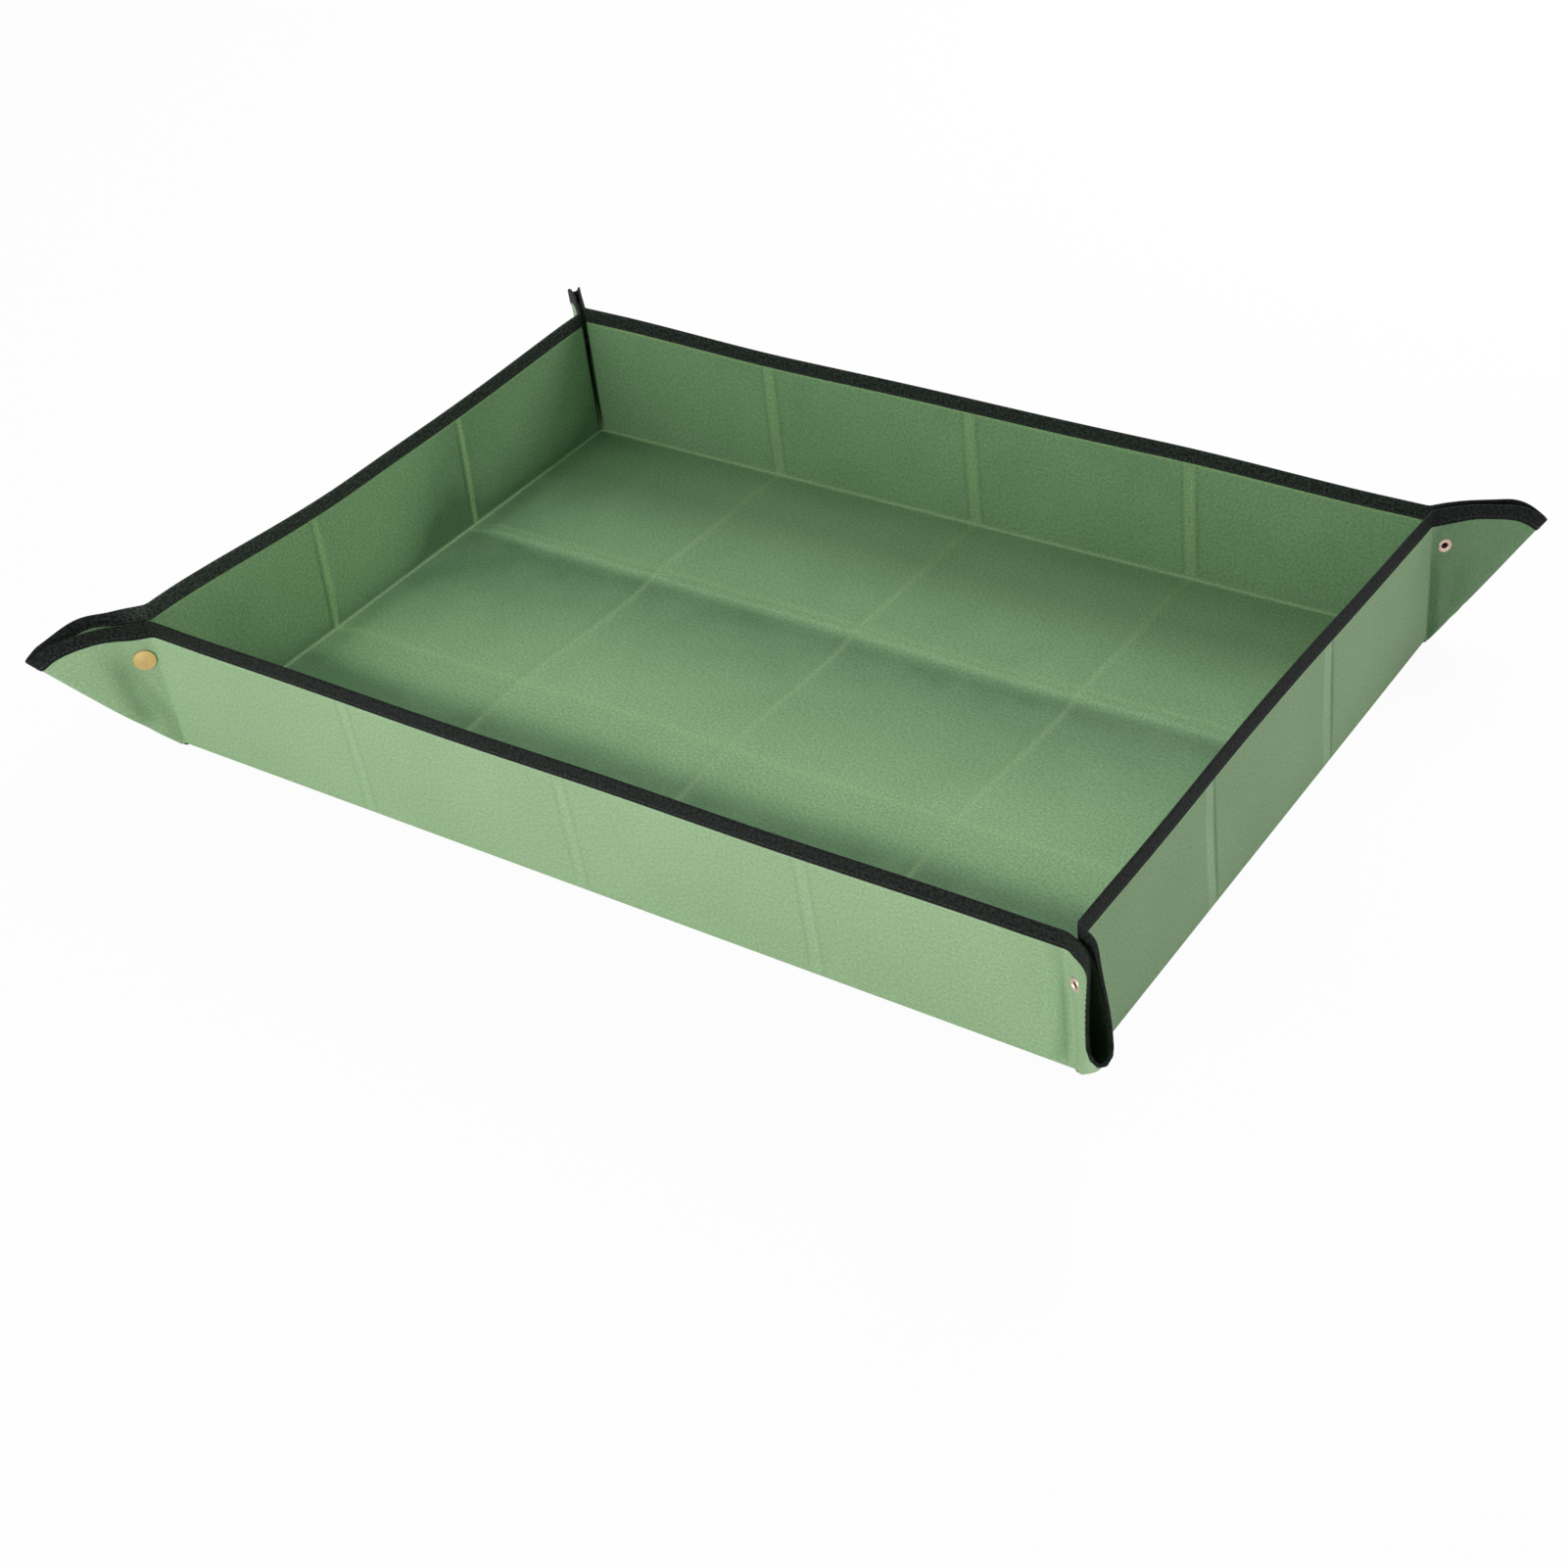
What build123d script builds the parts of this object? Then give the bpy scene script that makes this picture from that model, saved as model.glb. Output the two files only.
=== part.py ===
from build123d import *
import os
from math import sqrt

# Fold-up potting tray. One coated cloth sheet with rounded corners and a taped edge is folded up
# along its four sides. Each corner is pinched into a fin of two gussets, held by a snap fastener.
# Millimetres, +X along the length, +Z up, origin at the middle of the floor's underside.

# The cut sheet, laid flat
sheet_length = 1000.0
sheet_width = 750.0
wall_height = 115.0
corner_radius = 92.0
cloth_thickness = 0.6

# Edge tape, folded over the cut edge
tape_thickness = 0.5
tape_cover = 12.0

# Fold lines: each folding field ends in a round nose on its fold axis
fold_gap = 0.3
fold_start = 1.2
lip_angle = 50.0

# Snap fastener: its place on a gusset, from the cut edge and from the wall's end fold
snap_drop = 32.0
snap_reach = 11.0
snap_gap = 0.3
rivet_fit = 0.1

# Snap cap, with the shank that is spread inside the socket
cap_diameter = 17.0
cap_height = 2.2
cap_crown_diameter = 9.0
cap_shoulder_diameter = 14.6
cap_shoulder_height = 1.7
cap_rim_height = 0.9
cap_foot_inset = 0.5
cap_shank_diameter = 4.4
cap_spread_diameter = 6.4
cap_spread_thickness = 0.4

# Snap socket, a cup with a narrow mouth that keeps the spring in
socket_diameter = 13.0
socket_height = 3.2
socket_base = 0.6
socket_lid = 0.6
socket_cavity_diameter = 9.4
socket_edge = 0.5

# Split ring spring of square wire that grips the stud's neck
spring_wire = 0.6
spring_fit = 0.1
spring_play = 0.05
spring_opening_angle = 50.0

# Snap stud, hollow, with a waist behind its head
stud_flange_diameter = 12.4
stud_flange_thickness = 0.8
stud_neck_diameter = 6.6
stud_head_diameter = 7.2
stud_head_length = 0.6
stud_tip = 0.4
stud_fit = 0.25

# Snap post, an open eyelet whose shank holds the stud
post_flange_diameter = 10.5
post_flange_thickness = 0.9
post_flange_bevel = 0.5
post_hole_diameter = 4.4
post_wall = 0.5

# Worked out from the sizes above
base_length = sheet_length - 2 * wall_height
base_width = sheet_width - 2 * wall_height
half_cloth = cloth_thickness / 2
half_taped = half_cloth + tape_thickness
fin_spacing = cloth_thickness + socket_height + stud_flange_thickness + snap_gap
fin_offset = fin_spacing / 2
end_fold_inset = fin_offset * sqrt(2)
snap_height = wall_height - snap_drop
post_shank_diameter = post_hole_diameter + 2 * post_wall
stud_bore_diameter = post_shank_diameter + 2 * rivet_fit
socket_mouth_diameter = stud_head_diameter + 2 * stud_fit

# Heights inside a closed snap, measured from the middle of the cap gusset's cloth
socket_floor = half_cloth + socket_base
socket_ceiling = half_cloth + socket_height - socket_lid
spread_top = socket_floor + cap_spread_thickness
stud_reach = fin_spacing - spread_top - snap_gap
stud_neck_end = stud_reach - stud_head_length
stud_bore_end = stud_reach - stud_tip
post_end = stud_bore_end - snap_gap


def folding_strip(reach, thickness):
    """Section of a sheet that starts in a round nose on the origin and runs along +X."""
    half = thickness / 2
    sides = Polyline((0, half), (reach, half), (reach, -half), (0, -half))
    nose = ThreePointArc((0, -half), (-half, 0), (0, half))
    return make_face(Curve() + [sides, nose])


def turned(outline):
    """Solid of revolution about Z, from a closed outline of (radius, height) points."""
    return revolve(Plane.XZ * make_face(outline), axis=Axis.Z)


def wall_plane(half_run):
    """Section plane at a wall's left end: section X runs up the wall, extrusion runs along it."""
    return Plane(origin=(-half_run, 0, 0), x_dir=(0, 0, 1), z_dir=(1, 0, 0))


def end_fold(run):
    """Distance from a wall's middle to the upright fold axis at either end."""
    return run / 2 - end_fold_inset


def wall_panel(run):
    """One wall, standing on its fold axis, with its top corners cleared for the taped end folds."""
    half_run = end_fold(run) - half_cloth - fold_gap
    panel = extrude(wall_plane(half_run) * folding_strip(wall_height, cloth_thickness), 2 * half_run)
    relief_height = tape_cover + fold_gap
    relief = Cylinder(half_taped + fold_gap, relief_height)
    for side in (-1, 1):
        panel -= Pos(side * end_fold(run), 0, wall_height - relief_height / 2) * relief
    return panel


def wall_binding(run):
    """Tape folded over a wall's top edge."""
    half_run = end_fold(run) - half_taped - fold_gap
    lower = wall_height - tape_cover
    upper = wall_height + tape_thickness - half_taped
    faces = Polyline((upper, half_taped), (lower, half_taped), (lower, -half_taped), (upper, -half_taped))
    fold = ThreePointArc((upper, -half_taped), (upper + half_taped, 0), (upper, half_taped))
    cloth = Pos((lower + wall_height) / 2, 0) * Rectangle(tape_cover, cloth_thickness)
    section = make_face(Curve() + [faces, fold]) - cloth
    return extrude(wall_plane(half_run) * section, 2 * half_run)


def gusset_outline(growth):
    """Face of a gusset: end fold, cut edge moved out by growth, and the corner's diagonal."""
    centre = wall_height - corner_radius
    radius = corner_radius + growth
    top = wall_height + growth
    tip = centre + radius / sqrt(2)
    lines = Polyline(
        (centre, top),
        (-half_taped, top),
        (-half_taped, fold_start),
        (fold_start, fold_start),
        (tip, tip),
    )
    return make_face(Curve() + [lines, CenterArc((centre, centre), radius, 45, 45)])


def gusset_strip(thickness, height):
    """Upright plate with its round nose on the end fold axis, before it is trimmed to an outline."""
    foot = Plane(origin=(0, 0, 0), x_dir=(1, 0, 0), z_dir=(0, 1, 0))
    return extrude(foot * folding_strip(height, thickness), height)


def fold_lip():
    """Curled edge along the corner's diagonal, turning in towards the other gusset of the fin."""
    centre = wall_height - corner_radius
    taped_from = centre + (corner_radius - tape_cover) / sqrt(2)
    clear_of_floor = fold_start + (fin_offset + half_cloth) / sqrt(2)
    inner = CenterArc((0, fin_offset), fin_offset - half_cloth, -90, lip_angle)
    outer = CenterArc((0, fin_offset), fin_offset + half_cloth, -90, lip_angle)
    ends = [Line(inner @ 0, outer @ 0), Line(inner @ 1, outer @ 1)]
    across = Plane(origin=(taped_from, taped_from, 0), x_dir=(1, -1, 0), z_dir=(-1, -1, 0))
    section = make_face(Curve() + [inner, outer, *ends])
    return extrude(across * section, (taped_from - clear_of_floor) * sqrt(2))


def gusset(hole_diameter):
    """One gusset in its own frame: X out from the end fold, Y up, Z towards the other gusset."""
    sheet = gusset_strip(cloth_thickness, wall_height)
    sheet &= extrude(gusset_outline(0), half_taped, both=True)
    sheet += fold_lip()
    return sheet - Pos(snap_reach, snap_height) * Cylinder(hole_diameter / 2, 2 * half_taped)


def gusset_binding(sheet):
    """Tape folded over a gusset's top edge and round the sheet's corner."""
    band = gusset_outline(tape_thickness) - gusset_outline(-tape_cover)
    tape = gusset_strip(2 * half_taped, wall_height + tape_thickness)
    tape &= extrude(band, half_taped, both=True)
    return tape - sheet


def snap_cap():
    """Domed cap on the outside, with its shank through the cloth and spread inside the socket."""
    radius = cap_diameter / 2
    shank = cap_shank_diameter / 2
    spread = cap_spread_diameter / 2
    outline = Polyline(
        (0, -half_cloth - cap_height),
        (cap_crown_diameter / 2, -half_cloth - cap_height),
        (cap_shoulder_diameter / 2, -half_cloth - cap_shoulder_height),
        (radius, -half_cloth - cap_rim_height),
        (radius - cap_foot_inset, -half_cloth),
        (shank, -half_cloth),
        (shank, socket_floor),
        (spread, socket_floor),
        (spread, spread_top),
        (0, spread_top),
        close=True,
    )
    return turned(outline)


def snap_socket():
    """Cup on the inside of the cap's gusset."""
    radius = socket_diameter / 2
    shank_hole = cap_shank_diameter / 2 + rivet_fit
    cavity = socket_cavity_diameter / 2
    mouth = socket_mouth_diameter / 2
    top = half_cloth + socket_height
    outline = Polyline(
        (shank_hole, half_cloth),
        (radius, half_cloth),
        (radius, top - socket_edge),
        (radius - socket_edge, top),
        (mouth, top),
        (mouth, socket_ceiling),
        (cavity, socket_ceiling),
        (cavity, socket_floor),
        (shank_hole, socket_floor),
        close=True,
    )
    return turned(outline)


def snap_spring():
    """Split wire ring under the socket's mouth, round the stud's neck."""
    ring_radius = stud_neck_diameter / 2 + spring_fit + spring_wire / 2
    height = socket_ceiling - spring_play - spring_wire / 2
    wire = Pos(ring_radius, height) * Rectangle(spring_wire, spring_wire)
    return revolve(Plane.XZ * wire, axis=Axis.Z, revolution_arc=360 - spring_opening_angle)


def snap_stud():
    """Hollow stud on the inside of the post's gusset, with its head towards the socket."""
    bore = stud_bore_diameter / 2
    flange = stud_flange_diameter / 2
    neck = stud_neck_diameter / 2
    head = stud_head_diameter / 2
    flange_top = half_cloth + stud_flange_thickness
    bulge = stud_neck_end + stud_head_length / 2
    outline = Polyline(
        (bore, half_cloth),
        (flange, half_cloth),
        (flange, flange_top),
        (neck, flange_top),
        (neck, stud_neck_end),
        (head, bulge),
        (neck, stud_reach),
        (0, stud_reach),
        (0, stud_bore_end),
        (bore, stud_bore_end),
        close=True,
    )
    return turned(outline)


def snap_post():
    """Open eyelet on the outside, with its shank through the cloth and into the stud."""
    hole = post_hole_diameter / 2
    shank = post_shank_diameter / 2
    flange = post_flange_diameter / 2
    face = -half_cloth - post_flange_thickness
    shoulder = face + post_flange_bevel
    outline = Polyline(
        (hole + post_flange_bevel, face),
        (flange - post_flange_bevel, face),
        (flange, shoulder),
        (flange, -half_cloth),
        (shank, -half_cloth),
        (shank, post_end),
        (hole, post_end),
        (hole, shoulder),
        close=True,
    )
    return turned(outline)


def left_end(run, shape):
    """Put a shape made in a gusset's frame at a wall's left end, seen from outside."""
    fin = Plane(origin=(-end_fold(run), 0, 0), x_dir=(-1, -1, 0), z_dir=(-1, 1, 0))
    return fin * shape


def right_end(run, shape):
    """Put a shape made in a gusset's frame at a wall's right end, seen from outside."""
    return mirror(left_end(run, shape), about=Plane.YZ)


# Each side with its own length and the length across, in order about Z from the front
sides = {
    "front": (base_length, base_width),
    "right": (base_width, base_length),
    "back": (base_length, base_width),
    "left": (base_width, base_length),
}
# The corner at each side's left end, seen from outside, in the same order
corners = ["front_left", "front_right", "back_right", "back_left"]

cap_gusset = gusset(cap_shank_diameter + 2 * rivet_fit)
post_gusset = gusset(post_shank_diameter + 2 * rivet_fit)
at_snap = Pos(snap_reach, snap_height)
cap_end_pieces = {
    "gusset": cap_gusset,
    "gusset_binding": gusset_binding(cap_gusset),
    "snap_cap": at_snap * snap_cap(),
    "snap_socket": at_snap * snap_socket(),
    "snap_spring": at_snap * snap_spring(),
}
post_end_pieces = {
    "gusset": post_gusset,
    "gusset_binding": gusset_binding(post_gusset),
    "snap_stud": at_snap * snap_stud(),
    "snap_post": at_snap * snap_post(),
}

floor_inset = half_cloth + fold_gap
floor_panel = Pos(0, 0, half_cloth) * Box(
    base_length - 2 * floor_inset, base_width - 2 * floor_inset, cloth_thickness
)
nodes = {"floor_panel": floor_panel}

for number, (side, (run, across)) in enumerate(sides.items()):
    turn = number * 360 / len(sides)
    left_corner = corners[number]
    right_corner = corners[(number + 1) % len(corners)]
    placed = Rot(0, 0, turn) * Pos(0, -across / 2, half_cloth)
    nodes[f"{side}_wall_panel"] = placed * wall_panel(run)
    nodes[f"{side}_wall_binding"] = placed * wall_binding(run)
    for piece, shape in cap_end_pieces.items():
        name = f"{left_corner}_{piece}" if piece.startswith("snap") else f"{side}_wall_left_{piece}"
        nodes[name] = placed * left_end(run, shape)
    for piece, shape in post_end_pieces.items():
        name = f"{right_corner}_{piece}" if piece.startswith("snap") else f"{side}_wall_right_{piece}"
        nodes[name] = placed * right_end(run, shape)

os.makedirs("parts", exist_ok=True)
for name, shape in nodes.items():
    shape.label = name
    export_step(shape, f"parts/{name}.step")
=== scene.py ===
"""Fold-up potting tray: cloth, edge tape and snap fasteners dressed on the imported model."""
import logging
import math
from dataclasses import dataclass, field
from enum import Enum
from functools import cached_property

import bpy
import numpy as np
from mathutils import Matrix, Vector


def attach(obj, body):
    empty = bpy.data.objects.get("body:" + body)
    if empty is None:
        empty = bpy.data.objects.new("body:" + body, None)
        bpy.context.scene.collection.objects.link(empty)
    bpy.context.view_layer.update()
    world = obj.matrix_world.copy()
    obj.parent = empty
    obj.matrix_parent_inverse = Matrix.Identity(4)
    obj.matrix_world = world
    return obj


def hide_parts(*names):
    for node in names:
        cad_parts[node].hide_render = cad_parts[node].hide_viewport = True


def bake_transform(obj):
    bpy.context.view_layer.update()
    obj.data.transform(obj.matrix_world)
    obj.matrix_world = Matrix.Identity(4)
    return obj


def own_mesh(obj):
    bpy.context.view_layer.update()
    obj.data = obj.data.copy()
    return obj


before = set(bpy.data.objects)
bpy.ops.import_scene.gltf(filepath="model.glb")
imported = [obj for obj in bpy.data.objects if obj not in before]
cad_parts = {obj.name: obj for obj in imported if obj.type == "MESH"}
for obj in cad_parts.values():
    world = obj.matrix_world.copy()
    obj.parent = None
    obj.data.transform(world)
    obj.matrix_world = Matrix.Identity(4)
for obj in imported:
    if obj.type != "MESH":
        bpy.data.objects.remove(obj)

LOG = logging.getLogger("potting_tray")
MM = 0.001
TINY = 1e-6
ROOT_TWO = math.sqrt(2.0)
FLAT_MAP = "flat_sheet"
WHITE = (1.0, 1.0, 1.0, 1.0)
Array = np.ndarray
Pair = tuple[float, float]
Colour = tuple[float, float, float]
Place = tuple[float, float, float]
Piece = bpy.types.Object
Material = bpy.types.Material
Tree = bpy.types.NodeTree
Node = bpy.types.Node
Socket = bpy.types.NodeSocket


def smooth(value: Array) -> Array:
    """Ease a value from 0 to 1, flat at both ends."""
    held = np.clip(value, 0.0, 1.0)
    return held * held * (3.0 - 2.0 * held)


@dataclass(frozen=True)
class Ramp:
    """A smooth rise from 0 to 1: where it starts and how far on it is full; a minus length goes down."""

    start: float
    length: float

    def at(self, value: Array) -> Array:
        """Share of the rise at a place."""
        return smooth((value - self.start) / self.length)


@dataclass(frozen=True)
class Band:
    """Where an effect shows: it rises from a low end, and falls away to a high end."""

    low: float
    low_fade: float
    high: float
    high_fade: float

    def at(self, value: Array) -> Array:
        """Share from 0 outside the band to 1 in its middle."""
        return smooth((value - self.low) / self.low_fade) * smooth((self.high - value) / self.high_fade)


def bell(distance: Array, width: float) -> Array:
    """Soft bump of height 1 that fades over a width."""
    return np.exp(-((distance / width) ** 2))


def grow_square(value: Array) -> Array:
    """Grow as the square of a value, from zero."""
    held = np.maximum(value, 0.0)
    return held * held


def linear_colour(seen: Colour) -> tuple[float, float, float, float]:
    """Turn a colour as seen on screen into the shader's linear values.

    Args:
        seen: Red, green and blue, from 0 to 255.

    Returns:
        Linear red, green and blue with a full alpha.
    """
    linear = []
    for value in seen:
        share = value / 255.0
        linear.append(share / 12.92 if share <= 0.04045 else ((share + 0.055) / 1.055) ** 2.4)
    return (linear[0], linear[1], linear[2], 1.0)


class Side(Enum):
    """The tray's sides, in order about Z from the front."""

    FRONT = 0
    RIGHT = 1
    BACK = 2
    LEFT = 3

    @property
    def label(self) -> str:
        """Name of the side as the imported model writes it."""
        return self.name.lower()

    @property
    def turn(self) -> float:
        """Angle about Z from the front side, in radians."""
        return self.value * math.pi / 2.0


class End(Enum):
    """The two ends of a wall, seen from outside."""

    LEFT = -1
    RIGHT = 1

    @property
    def label(self) -> str:
        """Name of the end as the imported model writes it."""
        return self.name.lower()


class Face(Enum):
    """The two faces of the sheet."""

    INSIDE = 1
    OUTSIDE = -1


@dataclass(frozen=True)
class TraySizes:
    """Sizes of the sheet and its folds, in metres."""

    length: float = 770 * MM
    width: float = 520 * MM
    wall: float = 115 * MM
    corner_radius: float = 92 * MM
    half_cloth: float = 0.3 * MM
    tape_cover: float = 12 * MM
    tape_cover_outside: float = 13.8 * MM
    tape_half: float = 0.95 * MM
    fin_offset: float = 2.45 * MM
    snap_reach: float = 11 * MM
    snap_drop: float = 32 * MM
    snap_bore: float = 2.7 * MM
    base_fold_radius: float = 3 * MM
    seam_inset: float = 10 * MM
    heel_height: float = 6 * MM
    fin_start: float = 7 * MM
    corner_grip: float = 8.5 * MM
    corner_reach: float = 208 * MM
    dip_hold: float = 14 * MM
    dip_fade: float = 60 * MM

    @property
    def fold_inset(self) -> float:
        """Distance from the tray's corner to a wall's upright end fold."""
        return self.fin_offset * ROOT_TWO

    @property
    def arc_centre(self) -> float:
        """Height, and reach, of the centre of the sheet's rounded corner."""
        return self.wall - self.corner_radius

    @property
    def fin_tip(self) -> float:
        """Reach, and height, of the fin's tip."""
        return self.arc_centre + self.corner_radius / ROOT_TWO

    @property
    def snap_height(self) -> float:
        """Height of the snaps up the sheet."""
        return self.wall - self.snap_drop


SIZES = TraySizes()


@dataclass(frozen=True)
class StorageFolds:
    """Where the sheet was folded flat for storage: four columns by three rows."""

    columns: tuple[float, ...] = (-SIZES.length / 4, 0.0, SIZES.length / 4)
    rows: tuple[float, ...] = (-SIZES.width / 6, SIZES.width / 6)

    def along(self, side: Side) -> tuple[float, ...]:
        """Fold places along a side's own left-to-right direction, from its middle."""
        return self.columns if side in (Side.FRONT, Side.BACK) else self.rows


FOLDS = StorageFolds()


@dataclass(frozen=True)
class Sway:
    """How a fold line wanders: how far, how often, and what sets one line apart from the next."""

    size: float
    rate: float
    spread: float

    def past(self, place: float, across: Array, along: Array) -> Array:
        """Distance past the fold line at a place, measured across it."""
        return across - place - self.size * np.sin(self.rate * along + self.spread * place)


ROW_SWAY = Sway(1.4 * MM, 15.0, 40.0)
COLUMN_SWAY = Sway(1.2 * MM, 19.0, 30.0)


def corner_hold(past: Array) -> Array:
    """How firmly a corner holds its wall, by the distance past the upright fold: 1 there, 0 far away."""
    return 1.0 - smooth((-past - SIZES.corner_grip) / SIZES.corner_reach)


def rim_dip(past: Array, up: Array) -> Array:
    """Share of a corner's dip that a place near the upright fold takes.

    Args:
        past: Distance past the upright fold, negative on the wall.
        up: Height up the sheet.

    Returns:
        From 0 far from the corner and at the base, to 1 at the rim over the fold.
    """
    over_rim = 1.1
    reach = corner_hold(past) * (1.0 - smooth((past - SIZES.dip_hold) / SIZES.dip_fade))
    return reach * np.clip(up / SIZES.wall, 0.0, over_rim)


def base_round(up: Array) -> tuple[Array, Array]:
    """Round the foot of the sheet where it turns up from the floor.

    Args:
        up: Height up the sheet, from the middle of the turn.

    Returns:
        Distance inwards from the wall's plane, and what the turn adds to the height.
    """
    radius = SIZES.base_fold_radius
    turn = np.clip((up + radius) / (2 * radius), 0.0, 1.0) * math.pi / 2
    on_turn = np.abs(up) < radius
    return radius * (1.0 - np.sin(turn)), np.where(on_turn, radius * (1.0 - np.cos(turn)) - up, 0.0)


def spaced(low: float, high: float, step: float, lines: tuple[float, ...]) -> Array:
    """Sample places between two ends, closer together round fold lines.

    Args:
        low: First place.
        high: Last place.
        step: Usual distance between places.
        lines: Places that need fine samples.

    Returns:
        Sorted places that include both ends.
    """
    fine_step = 1.5 * MM
    fine_reach = 15 * MM
    closest = fine_step * 0.7
    count = max(2, int(round((high - low) / step)) + 1)
    places = [np.linspace(low, high, count)]
    for line in lines:
        places.append(line + np.arange(-fine_reach, fine_reach + fine_step / 2, fine_step))
    joined = np.unique(np.round(np.concatenate(places), 7))
    joined = joined[(joined > low + fine_step / 2) & (joined < high - fine_step / 2)]
    keep = [0]
    for index in range(1, len(joined)):
        if joined[index] - joined[keep[-1]] > closest:
            keep.append(index)
    return np.concatenate([[low], joined[keep], [high]])


class Surface:
    """Middle surface of a piece of the sheet, over its own flat coordinates."""

    inside: float = 1.0

    def points(self, along: Array, up: Array) -> Array:
        """Place flat coordinates in the tray's frame."""
        raise NotImplementedError

    def flat(self, along: Array, up: Array) -> Array:
        """Place flat coordinates on the cut sheet."""
        raise NotImplementedError

    def marks(self, along: Array, up: Array, face: Face) -> dict[str, Array]:
        """Marks painted on one face: pale fold lines and painted shade beside them."""
        raise NotImplementedError

    def tape_dust(self, along: Array) -> Array:
        """How much the inside face of the tape is painted paler along the piece: painted light."""
        raise NotImplementedError

    def normals(self, along: Array, up: Array) -> Array:
        """Unit normals towards the tray's inside.

        Args:
            along: Flat coordinate across the piece.
            up: Flat coordinate up the piece.

        Returns:
            One unit vector for each place.
        """
        step = 0.15 * MM
        shortest = 1e-12
        run = self.points(along + step, up) - self.points(along - step, up)
        rise = self.points(along, up + step) - self.points(along, up - step)
        normal = np.cross(run, rise)
        length = np.linalg.norm(normal, axis=-1, keepdims=True)
        return self.inside * normal / np.maximum(length, shortest)


@dataclass
class MeshParts:
    """Vertices, faces and their data, gathered before a mesh is made."""

    vertices: list[Array] = field(default_factory=list)
    maps: list[Array] = field(default_factory=list)
    marks: dict[str, list[Array]] = field(default_factory=dict)
    faces: list[tuple[int, ...]] = field(default_factory=list)
    finishes: list[int] = field(default_factory=list)
    count: int = 0

    def add(self, points: Array, flat: Array, marks: dict[str, Array] | None = None) -> int:
        """Add vertices.

        Args:
            points: Places in the tray's frame.
            flat: Their places on the flat map.
            marks: Named values for each vertex.

        Returns:
            Index of the first vertex added.
        """
        first = self.count
        self.vertices.append(points.reshape(-1, 3))
        self.maps.append(flat.reshape(-1, 2))
        for name, values in (marks or {}).items():
            self.marks.setdefault(name, []).append(values.reshape(-1))
        self.count += len(self.vertices[-1])
        return first

    def face(self, corners: tuple[int, ...], finish: int = 0) -> None:
        """Add one face, without corners that repeat.

        Args:
            corners: Vertex indices in order.
            finish: Index of its material.
        """
        kept = tuple(dict.fromkeys(int(corner) for corner in corners))
        if len(kept) > 2:
            self.faces.append(kept)
            self.finishes.append(finish)

    def tube(self, first: int, rings: int, around: int, finish: int, forward: bool = True) -> None:
        """Skin a run of rings of vertices and close both its ends.

        Args:
            first: Index of the first ring's first vertex.
            rings: How many rings.
            around: Vertices to a ring.
            finish: Index of the material.
            forward: Whether the rings turn so that the faces look outwards as they come.
        """
        for ring in range(rings - 1):
            near = first + ring * around
            far = near + around
            for side in range(around):
                step = (side + 1) % around
                quad = (near + side, near + step, far + step, far + side)
                self.face(quad if forward else quad[::-1], finish)
        for ring, flip in ((0, forward), (rings - 1, not forward)):
            cap = tuple(first + ring * around + side for side in range(around))
            self.face(cap[::-1] if flip else cap, finish)

    def build(self, name: str, materials: list[Material], sharp: float = 50.0) -> Piece:
        """Make the object.

        Args:
            name: Name of the piece.
            materials: Materials in the order that the faces name them.
            sharp: Angle in degrees from which an edge shows as a corner.

        Returns:
            The new object, in the scene.
        """
        mesh = bpy.data.meshes.new(name)
        vertices = np.concatenate(self.vertices)
        mesh.from_pydata(vertices.tolist(), [], self.faces)
        mesh.polygons.foreach_set("use_smooth", [True] * len(self.faces))
        mesh.polygons.foreach_set("material_index", self.finishes)
        corner_vertex = np.zeros(len(mesh.loops), np.int32)
        mesh.loops.foreach_get("vertex_index", corner_vertex)
        layer = mesh.uv_layers.new(name=FLAT_MAP)
        layer.data.foreach_set("uv", np.concatenate(self.maps)[corner_vertex].astype(np.float32).ravel())
        for mark, values in self.marks.items():
            attribute = mesh.attributes.new(mark, "FLOAT", "POINT")
            attribute.data.foreach_set("value", np.concatenate(values).astype(np.float32))
        for material in materials:
            mesh.materials.append(material)
        mesh.set_sharp_from_angle(angle=math.radians(sharp))
        mesh.update()
        return in_scene(name, mesh)


def in_scene(name: str, data: bpy.types.ID) -> Piece:
    """Put an object with the given data in the scene.

    Args:
        name: Name of the object.
        data: Its mesh, lamp or camera.

    Returns:
        The new object.
    """
    made = bpy.data.objects.new(name, data)
    bpy.context.scene.collection.objects.link(made)
    return made


def merge_same(points: Array) -> Array:
    """Give points that share a place the index of the first of them.

    Args:
        points: Places, one to a row.

    Returns:
        An index for each point.
    """
    keys = np.round(points / (0.001 * MM)).astype(np.int64)
    _, first, back = np.unique(keys, axis=0, return_index=True, return_inverse=True)
    return first[np.asarray(back).reshape(-1)]


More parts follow.
